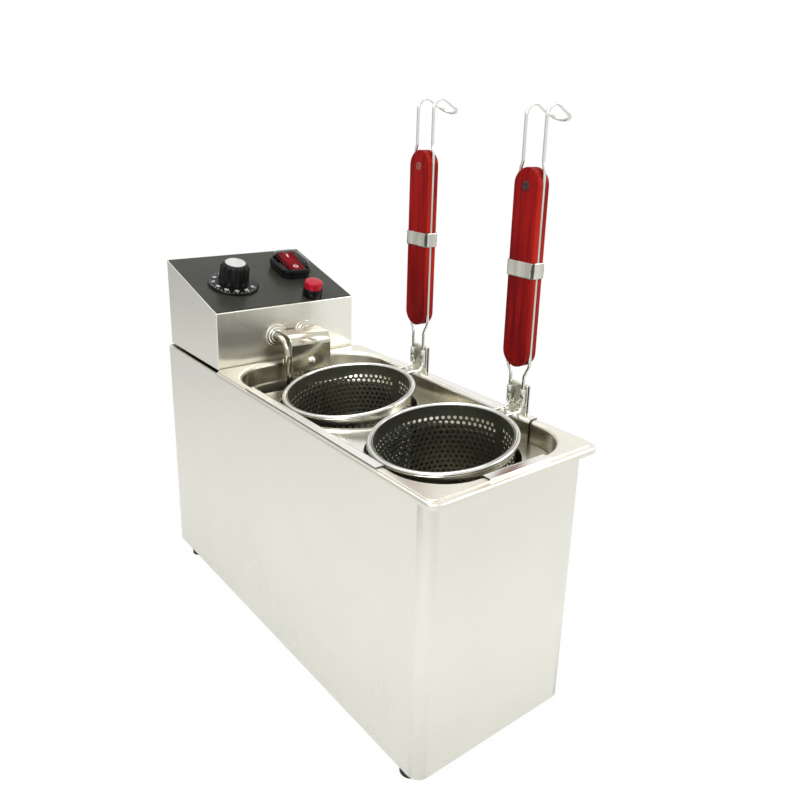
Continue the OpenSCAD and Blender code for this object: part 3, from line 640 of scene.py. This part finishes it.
def perforated_cup(name, seam):
    """Sheet of a cup, drilled all over but for its seam, with painted shade on its inside and the walls of
    its holes.
    """
    profile = cup_profile()
    base_radius, base_z = profile[-1][:2]
    work = bmesh.new()
    lowest = drilled_side(work, profile, seam)
    drilled_base(work, lowest, base_radius, base_z)
    bmesh.ops.recalc_face_normals(work, faces=work.faces)
    if sum(face.normal.dot(face.calc_center_median()) for face in work.faces) < 0:
        bmesh.ops.reverse_faces(work, faces=work.faces)
    sheet = object_of(name + "_sheet", finished(work, name), CUP, SHADED_CUP_INSIDE)
    mesh = thickened(sheet, CUP_SHEET, use_even_offset=True, material_offset=1, material_offset_rim=1)
    shade(mesh, 32)
    return mesh


def handle_path(low, hook_z):
    """Middle line of a handle wire, from one leg's foot to the other's. The grip starts at low."""
    high = low + GRIP_LENGTH
    foot_x, foot_y, foot_z, foot_bend = -19.9, 7.7, 250.7, 5.0
    grip_y, leg_bend = 12.9, 9.0
    hook_r, hook_y, hook_run, hook_turn = 9.9, 10.9, 9.5, math.radians(120)
    hook_steps, bow_steps = 20, 24
    foot = [(foot_x, foot_y, foot_z), (0, foot_y, foot_z), (0, foot_y, low - 8)]
    rise = [foot[1], foot[2], (0, grip_y, low + 2), (0, grip_y, high - 2), (0, hook_y, high + 4),
            (0, hook_y, hook_z)]
    leg = fillet(foot, foot_bend)[:-1] + fillet(rise, leg_bend)[1:]
    for k in range(1, hook_steps + 1):
        angle = hook_turn * k / hook_steps
        leg.append(Vector((hook_r - hook_r * math.cos(angle), hook_y, hook_z + hook_r * math.sin(angle))))
    ahead = Vector((math.sin(hook_turn), 0, math.cos(hook_turn)))
    end = leg[-1] + ahead * hook_run
    leg.append(end)
    middle = Vector((end.x, 0, end.z))
    bow = [middle + hook_y * (math.cos(angle) * Vector((0, 1, 0)) + math.sin(angle) * ahead)
           for angle in (math.pi * k / bow_steps for k in range(1, bow_steps))]
    return leg + bow + [Vector((p.x, -p.y, p.z)) for p in reversed(leg)]


def grip_shape(side):
    """Half of a wooden grip: a crowned slat with rounded ends and a groove for each wire."""
    half_width, thick, crown = 14.0, 6.5, 8.0
    end_share, swell = 0.8, 0.2
    groove_side, groove_depth = 11.45, 1.45
    end_gap, face_gap = 0.05, 0.03
    end_steps, middle_steps, arc_steps = 10, 6, 24
    ends = [half_width * (1 - math.cos(math.pi / 2 * k / end_steps)) for k in range(1, end_steps + 1)]
    straight = GRIP_LENGTH - 2 * half_width
    stations = [end_gap] + ends
    stations += [half_width + straight * k / middle_steps for k in range(1, middle_steps)]
    stations += [GRIP_LENGTH - z for z in reversed(ends)] + [GRIP_LENGTH - end_gap]
    sections = []
    for z in stations:
        near = min(z, GRIP_LENGTH - z, half_width) / half_width
        width = half_width * math.sqrt(1 - (1 - near) ** 2)
        depth = thick * (end_share + swell * (1 - (1 - near) ** 3))
        groove_y = min(groove_side, width * 0.8)
        groove = min(groove_depth, depth * 0.4)
        outline = [(face_gap, groove_y), (groove, groove_y), (groove, width)]
        for k in range(1, arc_steps):
            angle = math.pi * k / arc_steps
            y = math.copysign(abs(math.cos(angle)) ** (2 / crown), math.cos(angle)) * width
            outline.append((groove + (depth - groove) * math.sin(angle) ** (2 / crown), y))
        outline += [(groove, -width), (groove, -groove_y), (face_gap, -groove_y)]
        sections.append([(side * x, y, z) for x, y in outline])
    return loft(sections)


def grip_mesh(name, side):
    """Grip half with its rivet hole."""
    hole_radius, reach = 2.55, 20
    body = object_of(name + "_blank", mesh_of(name, grip_shape(side)), WOOD)
    pin = lathe([(0, 0), (hole_radius, 0), (hole_radius, 2 * reach), (0, 2 * reach)], 32)
    drill = placed(Matrix.Translation((-reach, 0, GRIP_LENGTH - RIVET_DROP)) @ SIDEWAYS, pin)
    cutter = object_of(name + "_drill", mesh_of(name + "_drill", drill), WOOD)
    hole = body.modifiers.new("rivet_hole", "BOOLEAN")
    hole.object = cutter
    hole.solver = "EXACT"
    mesh = settled(body)
    bpy.data.objects.remove(cutter)
    shade(mesh, 40)
    return mesh


def rivet_shape():
    """Rivet through both grip halves, with a low, rounded and dimpled head on each."""
    head = [(0, 6.55), (1.2, 6.6), (1.9, 6.95), (2.7, 7.1), (3.4, 6.95), (3.75, 6.6), (3.75, 6.52),
            (2.5, 6.52)]
    return lathe(head + [(radius, -height) for radius, height in reversed(head)], 40)


def basket(which, y, grip_low, hook_z, seam):
    """Cup, handle wire, wooden grip and rivet of a basket, and paint for its CAD nodes."""
    body = which + "_basket"
    lean = Matrix.Translation(Vector((0, y, CUP_RIM_Z)) * MM) @ Matrix.Rotation(-BASKET_TILT, 4, "Y")
    cup = perforated_cup(which + "_cup_sheet", seam)
    cup.transform(lean)
    piece(which + "_cup_sheet", cup, (CUP, SHADED_CUP_INSIDE), body, [which + "_cup"])
    wire = placed(Matrix.Translation((HANDLE_X, y, 0)), sweep(handle_path(grip_low, hook_z), WIRE_RADIUS))
    piece(which + "_bent_wire", wire, WIRE, body, [which + "_handle_wire"])
    for half, side in (("outer", 1), ("inner", -1)):
        mesh = grip_mesh(f"{which}_wood_{half}", side)
        mesh.transform(Matrix.Translation(Vector((HANDLE_X, y, grip_low)) * MM))
        piece(f"{which}_wood_{half}", mesh, WOOD, body, [f"{which}_grip_{half}"])
    rivet_at = Matrix.Translation((HANDLE_X, y, grip_low + GRIP_LENGTH - RIVET_DROP)) @ SIDEWAYS
    # The front rivet is painted dark as the shade of a recess; the rear one is brown
    piece(which + "_eyelet", placed(rivet_at, rivet_shape()), SHADED_RIVET if which == "front" else PLUG,
          body, [which + "_rivet"], 50)
    paint(WIRE, which + "_cup_rim", which + "_sleeves")
    paint(FITTING, which + "_hook_plate")
    paint(BAND, which + "_grip_band")
    soften(0.3, which + "_hook_plate", which + "_sleeves")
    soften(1.0, which + "_grip_band")


# Controls: heights are over the panel, and the rocker's over its pivot
PRINT = 0.03
ROCKER_TOP = 8.0
ROCKER_DISH = 1.6
ROCKER_HALF = 17.0
ROCKER_PIVOT = 4.5
ROCKER_REST = math.radians(10)


def fluted_knob():
    """Skirt and tapered, fluted body of the thermostat knob."""
    flutes, steps, fullness = 12, 8, 0.8

    def section(radius, height, depth):
        points = []
        for k in range(flutes * steps):
            angle = 2 * math.pi * (k / steps + 0.5) / flutes
            wave = (k % steps) / steps
            dip = depth * max(0.0, math.cos(2 * math.pi * wave)) ** fullness
            points.append(((radius - dip) * math.cos(angle), (radius - dip) * math.sin(angle), height))
        return points

    sizes = ((15.5, 4.2, 0), (15.5, 6.0, 0.2), (15.2, 8.0, 1.5), (14.6, 21.4, 1.5), (14.2, 22.6, 1.4),
             (13.0, 24.4, 1.0), (11.6, 25.4, 0.4), (10.3, 25.7, 0))
    skirt = [(8, 1.4), (25.3, 1.4), (25.7, 1.8), (25.7, 2.6), (24.9, 3.4), (15.2, 4.6), (8, 4.6), (8, 1.4)]
    return joined(loft([section(*size) for size in sizes]), lathe(skirt, 96))


def printed(text, size):
    """Mesh of a short text, flat and centred on the origin, in mm."""
    bolder = 0.09
    curve = bpy.data.curves.new(text, "FONT")
    curve.body = text
    curve.size = size * MM
    curve.extrude = PRINT * MM
    curve.offset = bolder * MM
    curve.align_x = "CENTER"
    curve.align_y = "CENTER"
    obj = linked(text, curve)
    bpy.context.view_layer.update()
    return settled(obj)


def printed_bar(half_x, half_y, radius, steps):
    """Flat bar of print about the origin."""
    return loft([oblong(half_x, half_y, radius, height, steps) for height in (-PRINT, PRINT)])


def merged(name, parts):
    """One mesh from (mesh, matrix) pairs in metres."""
    work = bmesh.new()
    for mesh, matrix in parts:
        mesh.transform(matrix)
        work.from_mesh(mesh)
    return finished(work, name)


def to_metres(matrix):
    """The same place with its shift in metres."""
    scaled = matrix.copy()
    scaled.translation = matrix.translation * MM
    return scaled


def dial_print():
    """Numerals and ticks of the dial, printed on its sloping skirt."""
    ticks, first_turn, step, lowest = 28, 225, 10, 20
    tick_end, half_tick, tick_corner, long_tick, short_tick = 24.4, 0.24, 0.05, 2.2, 1.3
    number_at, number_height, number_size = 20.0, 4.08, 4.4
    skirt_edge, skirt_height, skirt_rise = 24.9, 3.47, 0.1237
    slant = Matrix.Rotation(math.radians(-7.1), 4, "X")
    parts = []
    for k in range(ticks):
        turn = on_panel(KNOB_AT, 0, math.radians(first_turn - step * k))
        numbered = k % 3 == 0
        length = long_tick if numbered else short_tick
        radius = tick_end - length / 2
        height = skirt_height + (skirt_edge - radius) * skirt_rise
        at = turn @ Matrix.Translation((0, radius, height)) @ slant
        tick = printed_bar(half_tick, length / 2, tick_corner, 1)
        parts.append((mesh_of("tick", tick), to_metres(at)))
        if numbered:
            at = turn @ Matrix.Translation((0, number_at, number_height)) @ slant
            parts.append((printed(str(lowest + 10 * (k // 3)), number_size), to_metres(at)))
    return merged("dial_print", parts)


def knob():
    """Fluted knob, its pale cap and the print on its skirt."""
    place = on_panel(KNOB_AT)
    cap = [(0, 24.4), (10.2, 24.4), (10.2, 26.0), (9.9, 26.3), (9.2, 26.45), (0, 26.5)]
    piece("knob_body", placed(place, fluted_knob()), BLACK, "knob",
          ["thermostat_knob"], 30)
    piece("knob_disc", placed(place, lathe(cap)), PALE, "knob", ["knob_cap"])
    piece("dial_print", dial_print(), MARK, "knob")


def reset_button():
    """Red button on a stem, with a rounded edge and a slightly domed top."""
    profile = [(0, -6.5), (4, -6.5), (4, 5.6), (9.0, 5.6), (9.35, 5.95), (9.35, 15.6), (9.1, 16.6),
               (8.4, 17.3), (7.2, 17.65), (4, 17.78), (0, 17.8)]
    piece("button_red", placed(on_panel(RESET_AT), lathe(profile)), RED, "reset",
          ["reset_button"], 50)


def switch_ring(half_x, height):
    """Rounded outline about the switch at a height."""
    longer, tighter = 3.5, 6.5
    return oblong(half_x, half_x + longer, half_x - tighter, height)


def switch_frame():
    """Black frame: a grooved neck, a rounded rim and a straight opening for the rocker."""
    outside = ((17.2, 0.8), (17.2, 3.6), (16.9, 4.2), (17.2, 4.8), (18.2, 5.3), (18.5, 5.8),
               (18.4, 9.2), (17.9, 10.6), (17.0, 11.2))
    opening = [oblong(12.5, 18.2, 0.4, 11.2), oblong(12.4, 18.2, 0.4, 0.8)]
    return loft([switch_ring(*size) for size in outside] + opening, looped=True)


def switch_boot():
    """Clear boot: a rounded wall around the rocker and a thin lid over it."""
    wall = ((16.5, 11.2), (16.5, 15.2), (15.9, 16.8), (14.6, 17.6), (13.0, 17.4), (14.6, 16.9),
            (15.5, 15.0), (15.5, 11.2))
    lid = ((13.4, 17.5), (13.4, 17.0))
    return joined(loft([switch_ring(*size) for size in wall], looped=True),
                  loft([switch_ring(*size) for size in lid]))


def rocker_shape():
    """Rocker about its pivot: a dished top that narrows upward and drops at both ends."""
    ends = ((ROCKER_HALF, 5.5), (16.6, 2.0), (16.0, 0.6), (15.2, 0.0), (8.0, 0.0))
    stations = [(-y, drop) for y, drop in ends] + [(0.0, 0.0)] + list(reversed(ends))
    sections = []
    for y, drop in stations:
        top = ROCKER_TOP + ROCKER_DISH * abs(y) / ROCKER_HALF - drop
        right = [(9.0, top), (10.2, top - 0.2), (11.0, top - 0.8), (12.0, top - 4.0), (12.0, -3.0)]
        outline = right + [(-x, z) for x, z in reversed(right)]
        sections.append([(x, y, z) for x, z in outline])
    return loft(sections)


def rocker_print(pivot):
    """Marks I and O on the two halves of the rocker's dished top."""
    mark_y, mark_z = 10.0, 8.98
    dish = math.atan2(ROCKER_DISH, ROCKER_HALF)
    bar = printed_bar(0.7, 2.6, 0.2, 2)
    ring = lathe([(1.6, -PRINT), (2.8, -PRINT), (2.8, PRINT), (1.6, PRINT), (1.6, -PRINT)], 40)
    marks = []
    for name, shape, end in (("I", bar, 1), ("O", ring, -1)):
        place = pivot @ Matrix.Translation((0, end * mark_y, mark_z)) @ Matrix.Rotation(end * dish, 4, "X")
        marks.append((mesh_of(name, shape), to_metres(place)))
    return merged("rocker_print", marks)


def switch():
    """Frame, rocker with its marks, and clear boot of the power switch."""
    place = on_panel(SWITCH_AT)
    piece("switch_surround", placed(place, switch_frame()), BLACK, "cooker",
          ["switch_frame"], 30)
    pivot = on_panel(SWITCH_AT, ROCKER_PIVOT) @ Matrix.Rotation(ROCKER_REST, 4, "X")
    piece("rocker_lens", placed(pivot, rocker_shape()), LENS, "rocker", ["power_rocker"])
    piece("rocker_print", rocker_print(pivot), MARK, "rocker")
    piece("boot_clear", placed(place, switch_boot()), CLEAR, "cooker",
          ["switch_boot"], 50)


def glands():
    """Two stepped glands on the head's front, as nested washers about the tube."""
    middle_x, half_apart, height = 2.25, 16.45, 271.7
    washer = [(3.35, 0), (11.3, 0), (11.5, 0.2), (11.5, 1.0), (11.1, 1.3), (9.0, 1.3), (8.8, 1.5),
              (8.8, 2.1), (8.5, 2.4), (6.4, 2.4), (6.2, 2.6), (6.2, 2.8), (5.9, 3.0), (3.35, 3.0)]
    barrel = [(3.35, 0), (3.35, -8), (7, -8), (7, 0)]
    forward = Matrix.Rotation(math.pi / 2, 4, "X")
    shapes = []
    for side in (-1, 1):
        place = Matrix.Translation((middle_x + side * half_apart, HEAD_FRONT_Y, height)) @ forward
        shapes.append(placed(place, lathe(washer + washer[:1], 56)))
        shapes.append(placed(place, lathe(barrel + barrel[:1], 40)))
    piece("gland_washers", joined(*shapes), POLISHED, "cooker", ["element_glands"], 30)


# Tank and rack

def tank_shell():
    """Drawn tank with a rolled mouth, a stepped rim and a lip over the casing.

    Sections run from the floor's underside up, out to the lip and back over the top.
    """
    mouth_half, mouth_front, mouth_rear, mouth_corner = 75.8, -218.5, 91.5, 43
    rim_corner, roll_radius, sheet, front_step = 9, 4, 0.8, 3.4
    deck_y, deck_z = 92.0, 243.35

    def rim(inset, z, back=0):
        outline = plan(TANK_HIGH.x - inset, TANK_LOW.y + inset + back, TANK_HIGH.y - inset,
                       rim_corner - inset, z)
        return [(x, y, max(z, deck_z) if y > deck_y else z) for x, y, z in outline]

    def mouth(grow, z):
        return plan(mouth_half + grow, mouth_front - grow, mouth_rear + grow, mouth_corner + grow, z)

    def roll(radius):
        angles = [math.radians(15 * k) for k in range(7)]
        middle_z = RIM_TOP - roll_radius
        return [mouth(roll_radius - radius * math.sin(angle), middle_z + radius * math.cos(angle))
                for angle in angles]

    under_floor = ((-9, 75.2), (-4.2, 76.4), (-2.2, 81.8), (-2.2, 227.2), (0.8, 227.3))
    under_step = ((3.4, 247.2), (2.4, 246.3))
    under_lip = ((1.4, 246.0), (0.8, 245.0), (0.8, 242.0))
    lip = ((0.3, 242.0), (0, 242.3), (0, 244.6), (0.15, 245.6), (0.6, 246.35), (1.2, 246.75))
    step = ((1.8, 246.95), (1.9, 247.55), (2.1, 247.85), (2.6, RIM_TOP), (3.4, RIM_TOP))
    floor = ((0, 229.2), (-0.3, 228.4), (-1, 228), (-2.4, 228), (-2.9, 227.7), (-3, 227), (-3, 82.4),
             (-4.9, 77.4), (-9.4, 76))
    sections = [mouth(*size) for size in under_floor]
    sections += roll(roll_radius - sheet)[::-1]
    sections += [rim(*size, front_step) for size in under_step]
    sections += [rim(*size) for size in under_lip + lip]
    sections += [rim(*size, front_step) for size in step]
    sections += roll(roll_radius)
    sections += [mouth(*size) for size in floor]
    return loft(sections)


def inside_mouth(place):
    """True on the walls of the tank's mouth that get painted shade, for a place in metres. The rear right
    is left lit.
    """
    low, high = 0.2283, 0.2465
    half_x, front, rear = 0.0800, -0.2226, 0.0956
    wall_x, wall_front, wall_rear = 0.073, -0.2165, 0.085
    round_front, round_rear = -0.1755, 0.0485
    lit_corner_x, lit_corner_y = 0.012, 0.05
    within = abs(place.x) < half_x and front < place.y < rear and low < place.z < high
    on_wall = abs(place.x) > wall_x or not wall_front < place.y < wall_rear
    in_round_end = not round_front < place.y < round_rear
    lit_corner = place.x > lit_corner_x and place.y > lit_corner_y
    return within and (on_wall or in_round_end) and not lit_corner


def strip(path, low, high, axis):
    """Sheet that follows a path of (across, z) between two places along an axis."""
    path = [Vector((across, 0, z)) for across, z in path]
    sides = ([], [])
    for i, point in enumerate(path):
        ahead = (path[min(i + 1, len(path) - 1)] - path[max(i - 1, 0)]).normalized()
        normal = Vector((-ahead.z, 0, ahead.x))
        for side, half in zip(sides, (RACK_SHEET / 2, -RACK_SHEET / 2)):
            side.append(point + half * normal)
    outline = sides[0] + sides[1][::-1]
    if axis == "Y":
        return loft([[(p.x, y, p.z) for p in outline] for y in (low, high)])
    return loft([[(x, p.x, p.z) for p in outline] for x in (low, high)])


def rack_deck():
    """Flat deck with a rounded front and two round holes."""
    half_x, front, front_corner, rear_corner, hole_radius = 75, -217.7, 42.2, 16, 64.5
    loops = [plan(half_x, front, RACK_HIGH.y, front_corner, RACK_TOP, rear_corner)]
    for sizes in BASKETS.values():
        loops.append([(hole_radius * math.cos(angle), sizes["y"] + hole_radius * math.sin(angle), RACK_TOP)
                      for angle in turns(96)])
    work = bmesh.new()
    edges = []
    for loop in loops:
        edges += closed_edges(work, [work.verts.new(Vector(p) * MM) for p in loop])
    bmesh.ops.triangle_fill(work, edges=edges, use_beauty=True, normal=(0, 0, 1))
    return thickened(object_of("rack_deck", finished(work, "rack_deck"), RACK), RACK_SHEET)


def hole_collar(y):
    """Collar drawn up around a hole of the rack."""
    profile = [(64, 228), (64, 230.6), (64.15, 230.9), (64.5, 231), (64.85, 230.9), (65, 230.6),
               (65, 229.4), (65.3, 229.05), (65.8, 228.9), (65.8, 228.1), (64, 228)]
    return mesh_of("collar", placed(Matrix.Translation((0, y, 0)), lathe(profile, 96)))


def bent_tab(root, end, low, high, axis):
    """Tab that rises from the deck and bends outward over the rim."""
    root_z, top_z, bend = 228.6, RIM_TOP + RACK_SHEET / 2, 3.5
    path = fillet([(root, 0, root_z), (root, 0, top_z), (end, 0, top_z)], bend)
    return mesh_of("tab", strip([(p.x, p.z) for p in path], low, high, axis))


def rack_sheet():
    """Deck, collars and three tabs of the rack, with a painted shadow on the tabs' outer edges and ends,
    and painted shade on the walls.
    """
    side_x, side_end, front_y, front_end = 74.5, RACK_HIGH.x, -217.2, -227.3
    edge_low, edge_x, slack = RIM_TOP - 0.2, side_end - 0.5, 0.001
    painted_shadow_line, shaded_wall_index = 1, 2
    parts = [rack_deck()] + [hole_collar(sizes["y"]) for sizes in BASKETS.values()]
    parts += [bent_tab(side * side_x, side * side_end, *SIDE_TABS_Y, "Y") for side in (-1, 1)]
    parts.append(bent_tab(front_y, front_end, *FRONT_TAB_X, "X"))
    whole = merged("rack_sheet", [(part, Matrix()) for part in parts])
    shade(whole, 35)
    for face in whole.polygons:
        place = face.center / MM
        outer = place.z > edge_low and abs(place.x) > edge_x
        from_ends = [place.y - y for y in SIDE_TABS_Y] + [place.x - FRONT_TAB_X[0]]
        at_end = min(abs(off) for off in from_ends) < slack
        if abs(face.normal.z) >= 0.1:
            continue
        # Outer edges and ends of the tabs get the painted shadow
        if outer or at_end:
            face.material_index = painted_shadow_line
        elif inside_mouth(face.center):
            face.material_index = shaded_wall_index
    return whole


def tank_with_shaded_walls():
    """Mesh of the tank with its second material, painted shade, on the walls below the mouth."""
    mesh = mesh_of("tank_shell", tank_shell(), 28)
    for face in mesh.polygons:
        face.material_index = int(abs(face.normal.z) < 0.4 and inside_mouth(face.center))
    return mesh


for which, sizes in BASKETS.items():
    basket(which, **sizes)
knob()
reset_button()
switch()
glands()
piece("tank_shell", tank_with_shaded_walls(), (TANK, SHADED_WALL), "cooker", ["tank"])
piece("rack_sheet", rack_sheet(), (RACK, SHADOW_LINE, SHADED_WALL), "rack", ["basket_rack"])

paint(CASING, "casing")
paint(HEAD, "head_shell", "head_base", "head_rear_cover", "base_plate")
paint(BRACKET, "element_bracket", "clamp_bar", "element_stand")
paint(POLISHED, "bracket_screw", "gland_lock_nuts", "foot_screws", "foot_nuts", "head_screws",
      "thermostat_shaft")
paint(TUBE, "heating_element")
paint(COPPER, "thermostat_bulb", "limiter_bulb")
paint(PANEL_FILM, "control_panel")
paint(BLACK, "reset_collar", "cord_gland", "thermostat", "limiter", "switch_body")
paint(PALE, "terminal_block")
paint(RUBBER, "rubber_feet")
soften(0.9, "head_shell", segments=3)
soften(0.5, "casing", "element_bracket", "reset_collar", "rubber_feet")


# Stage: ground and sky, lamps and the photo's camera

def tone(tree, place, stops):
    """Grey that follows stops of (place, value) along a line toward the rear left and down."""
    toward_rear = (-0.5, 0.8, -0.6)
    reach = tree.nodes.new("ShaderNodeVectorMath")
    reach.operation = "DOT_PRODUCT"
    reach.inputs[1].default_value = toward_rear
    tree.links.new(place, reach.inputs[0])
    low, high = stops[0][0], stops[-1][0]
    part = eased(tree, reach.outputs["Value"], low, high, 0.0, 1.0)
    ramp = tree.nodes.new("ShaderNodeValToRGB")
    ramp.color_ramp.interpolation = "EASE"
    while len(ramp.color_ramp.elements) < len(stops):
        ramp.color_ramp.elements.new(0.5)
    for element, (at, value) in zip(ramp.color_ramp.elements, stops):
        element.position = (at - low) / (high - low)
        element.color = (value, value, value, 1)
    tree.links.new(part, ramp.inputs["Fac"])
    return ramp.outputs["Color"]


def background():
    """White to the eye, shaded from front to rear in reflections, dimmer as ambient light."""
    world = bpy.data.worlds.new("studio")
    bpy.context.scene.world = world
    world.use_nodes = True
    tree = world.node_tree
    ray = tree.nodes.new("ShaderNodeLightPath").outputs
    ambient = tree.nodes["Background"]
    ambient.inputs["Color"].default_value = (1, 1, 1, 1)
    ambient.inputs["Strength"].default_value = 0.5
    seen = tree.nodes.new("ShaderNodeBackground")
    direction = tree.nodes.new("ShaderNodeTexCoord").outputs["Generated"]
    sky = tone(tree, direction, ((0.25, 1.0), (0.95, 0.55)))
    through = combine(tree, "MAXIMUM", ray["Is Camera Ray"], ray["Is Transmission Ray"])
    tree.links.new(combine(tree, "MAXIMUM", sky, through), seen.inputs["Color"])
    mix = tree.nodes.new("ShaderNodeMixShader")
    tree.links.new(combine(tree, "MAXIMUM", through, ray["Is Glossy Ray"]), mix.inputs[0])
    tree.links.new(ambient.outputs[0], mix.inputs[1])
    tree.links.new(seen.outputs[0], mix.inputs[2])
    tree.links.new(mix.outputs[0], tree.nodes["World Output"].inputs["Surface"])


def ground():
    """White floor with a faint contact shadow, which fades into the background."""
    casing_x, casing_y, shadow_width, shadow = 0.082, 0.222, 0.1, 0.82
    half_size, corner, low, top = 4000, 100, -1, -0.05
    look = Look("floor_white", Base_Color=(0.92, 0.92, 0.92, 1), Roughness=0.9)
    ray = look.add("LightPath").outputs
    place = look.add("TexCoord").outputs["Object"]
    through = look.calc("MAXIMUM", ray["Is Camera Ray"], ray["Is Transmission Ray"])
    spot = look.add("SeparateXYZ", {0: place}).outputs
    beside = look.calc("SUBTRACT", look.calc("ABSOLUTE", spot["X"]), casing_x)
    before = look.calc("SUBTRACT", look.calc("ABSOLUTE", spot["Y"]), casing_y)
    # Painted contact shadow beside the casing and a painted tone, seen only in reflections of the floor
    contact = eased(look.tree, look.calc("MAXIMUM", beside, before), 0.0, shadow_width, shadow, 1.0)
    stops = ((-0.6, 0.84), (-0.25, 0.97), (0.1, 0.93), (0.5, 0.84), (0.9, 0.64), (1.3, 0.5))
    shine = look.calc("MULTIPLY", tone(look.tree, place, stops), contact)
    glow = look.add("Emission", {"Color": look.calc("MAXIMUM", shine, through)})
    distance = look.add("VectorMath", {0: place})
    distance.operation = "LENGTH"
    fade = eased(look.tree, distance.outputs["Value"], 0.3, 1.0, 0.96, 1.0)
    seen = look.calc("MULTIPLY", through, fade)
    mirrored = look.calc("MULTIPLY", ray["Is Glossy Ray"], 0.6)
    mix = look.add("MixShader", {0: look.calc("MAXIMUM", seen, mirrored),
                                 1: look.shader.outputs[0], 2: glow.outputs[0]})
    look.tree.links.new(mix.outputs[0], look.tree.nodes["Material Output"].inputs["Surface"])
    shape = loft([oblong(half_size, half_size, corner, height) for height in (low, top)])
    object_of("floor", mesh_of("floor", shape), look.material)


def lamp(name, place, aim, size, power):
    """Square soft lamp that shines from a place toward an aim, in metres."""
    data = bpy.data.lights.new(name, "AREA")
    data.size = size
    data.energy = power
    obj = linked(name, data)
    obj.location = place
    obj.rotation_euler = (Vector(aim) - Vector(place)).to_track_quat("-Z", "Y").to_euler()


def camera():
    """The photo's camera, fitted to edges of the casing, rim and baskets."""
    place = (-0.3773, -0.5681, 0.4873)
    data = bpy.data.cameras.new("camera")
    data.sensor_width = 36
    data.lens = 34.33
    data.shift_x = -0.0389
    data.shift_y = -0.0542
    data.clip_start = 0.01
    right = Vector((0.76958717, -0.63743998, 0.03749489))
    up = Vector((0.16140573, 0.25100742, 0.95443358))
    back = right.cross(up)
    obj = linked("camera", data)
    turn = Matrix((right, up, back)).transposed().to_4x4()
    obj.matrix_world = Matrix.Translation(place) @ turn
    bpy.context.scene.camera = obj


background()
ground()
lamp("key", (-1.1, -0.7, 1.5), (0, 0, 0.2), 0.9, 18)
lamp("fill", (1.2, -1.0, 1.1), (0, 0, 0.2), 1.0, 8)
lamp("top", (0.1, 0.3, 1.8), (0, 0, 0.2), 1.2, 10)
camera()
bpy.context.scene.view_settings.view_transform = "Standard"
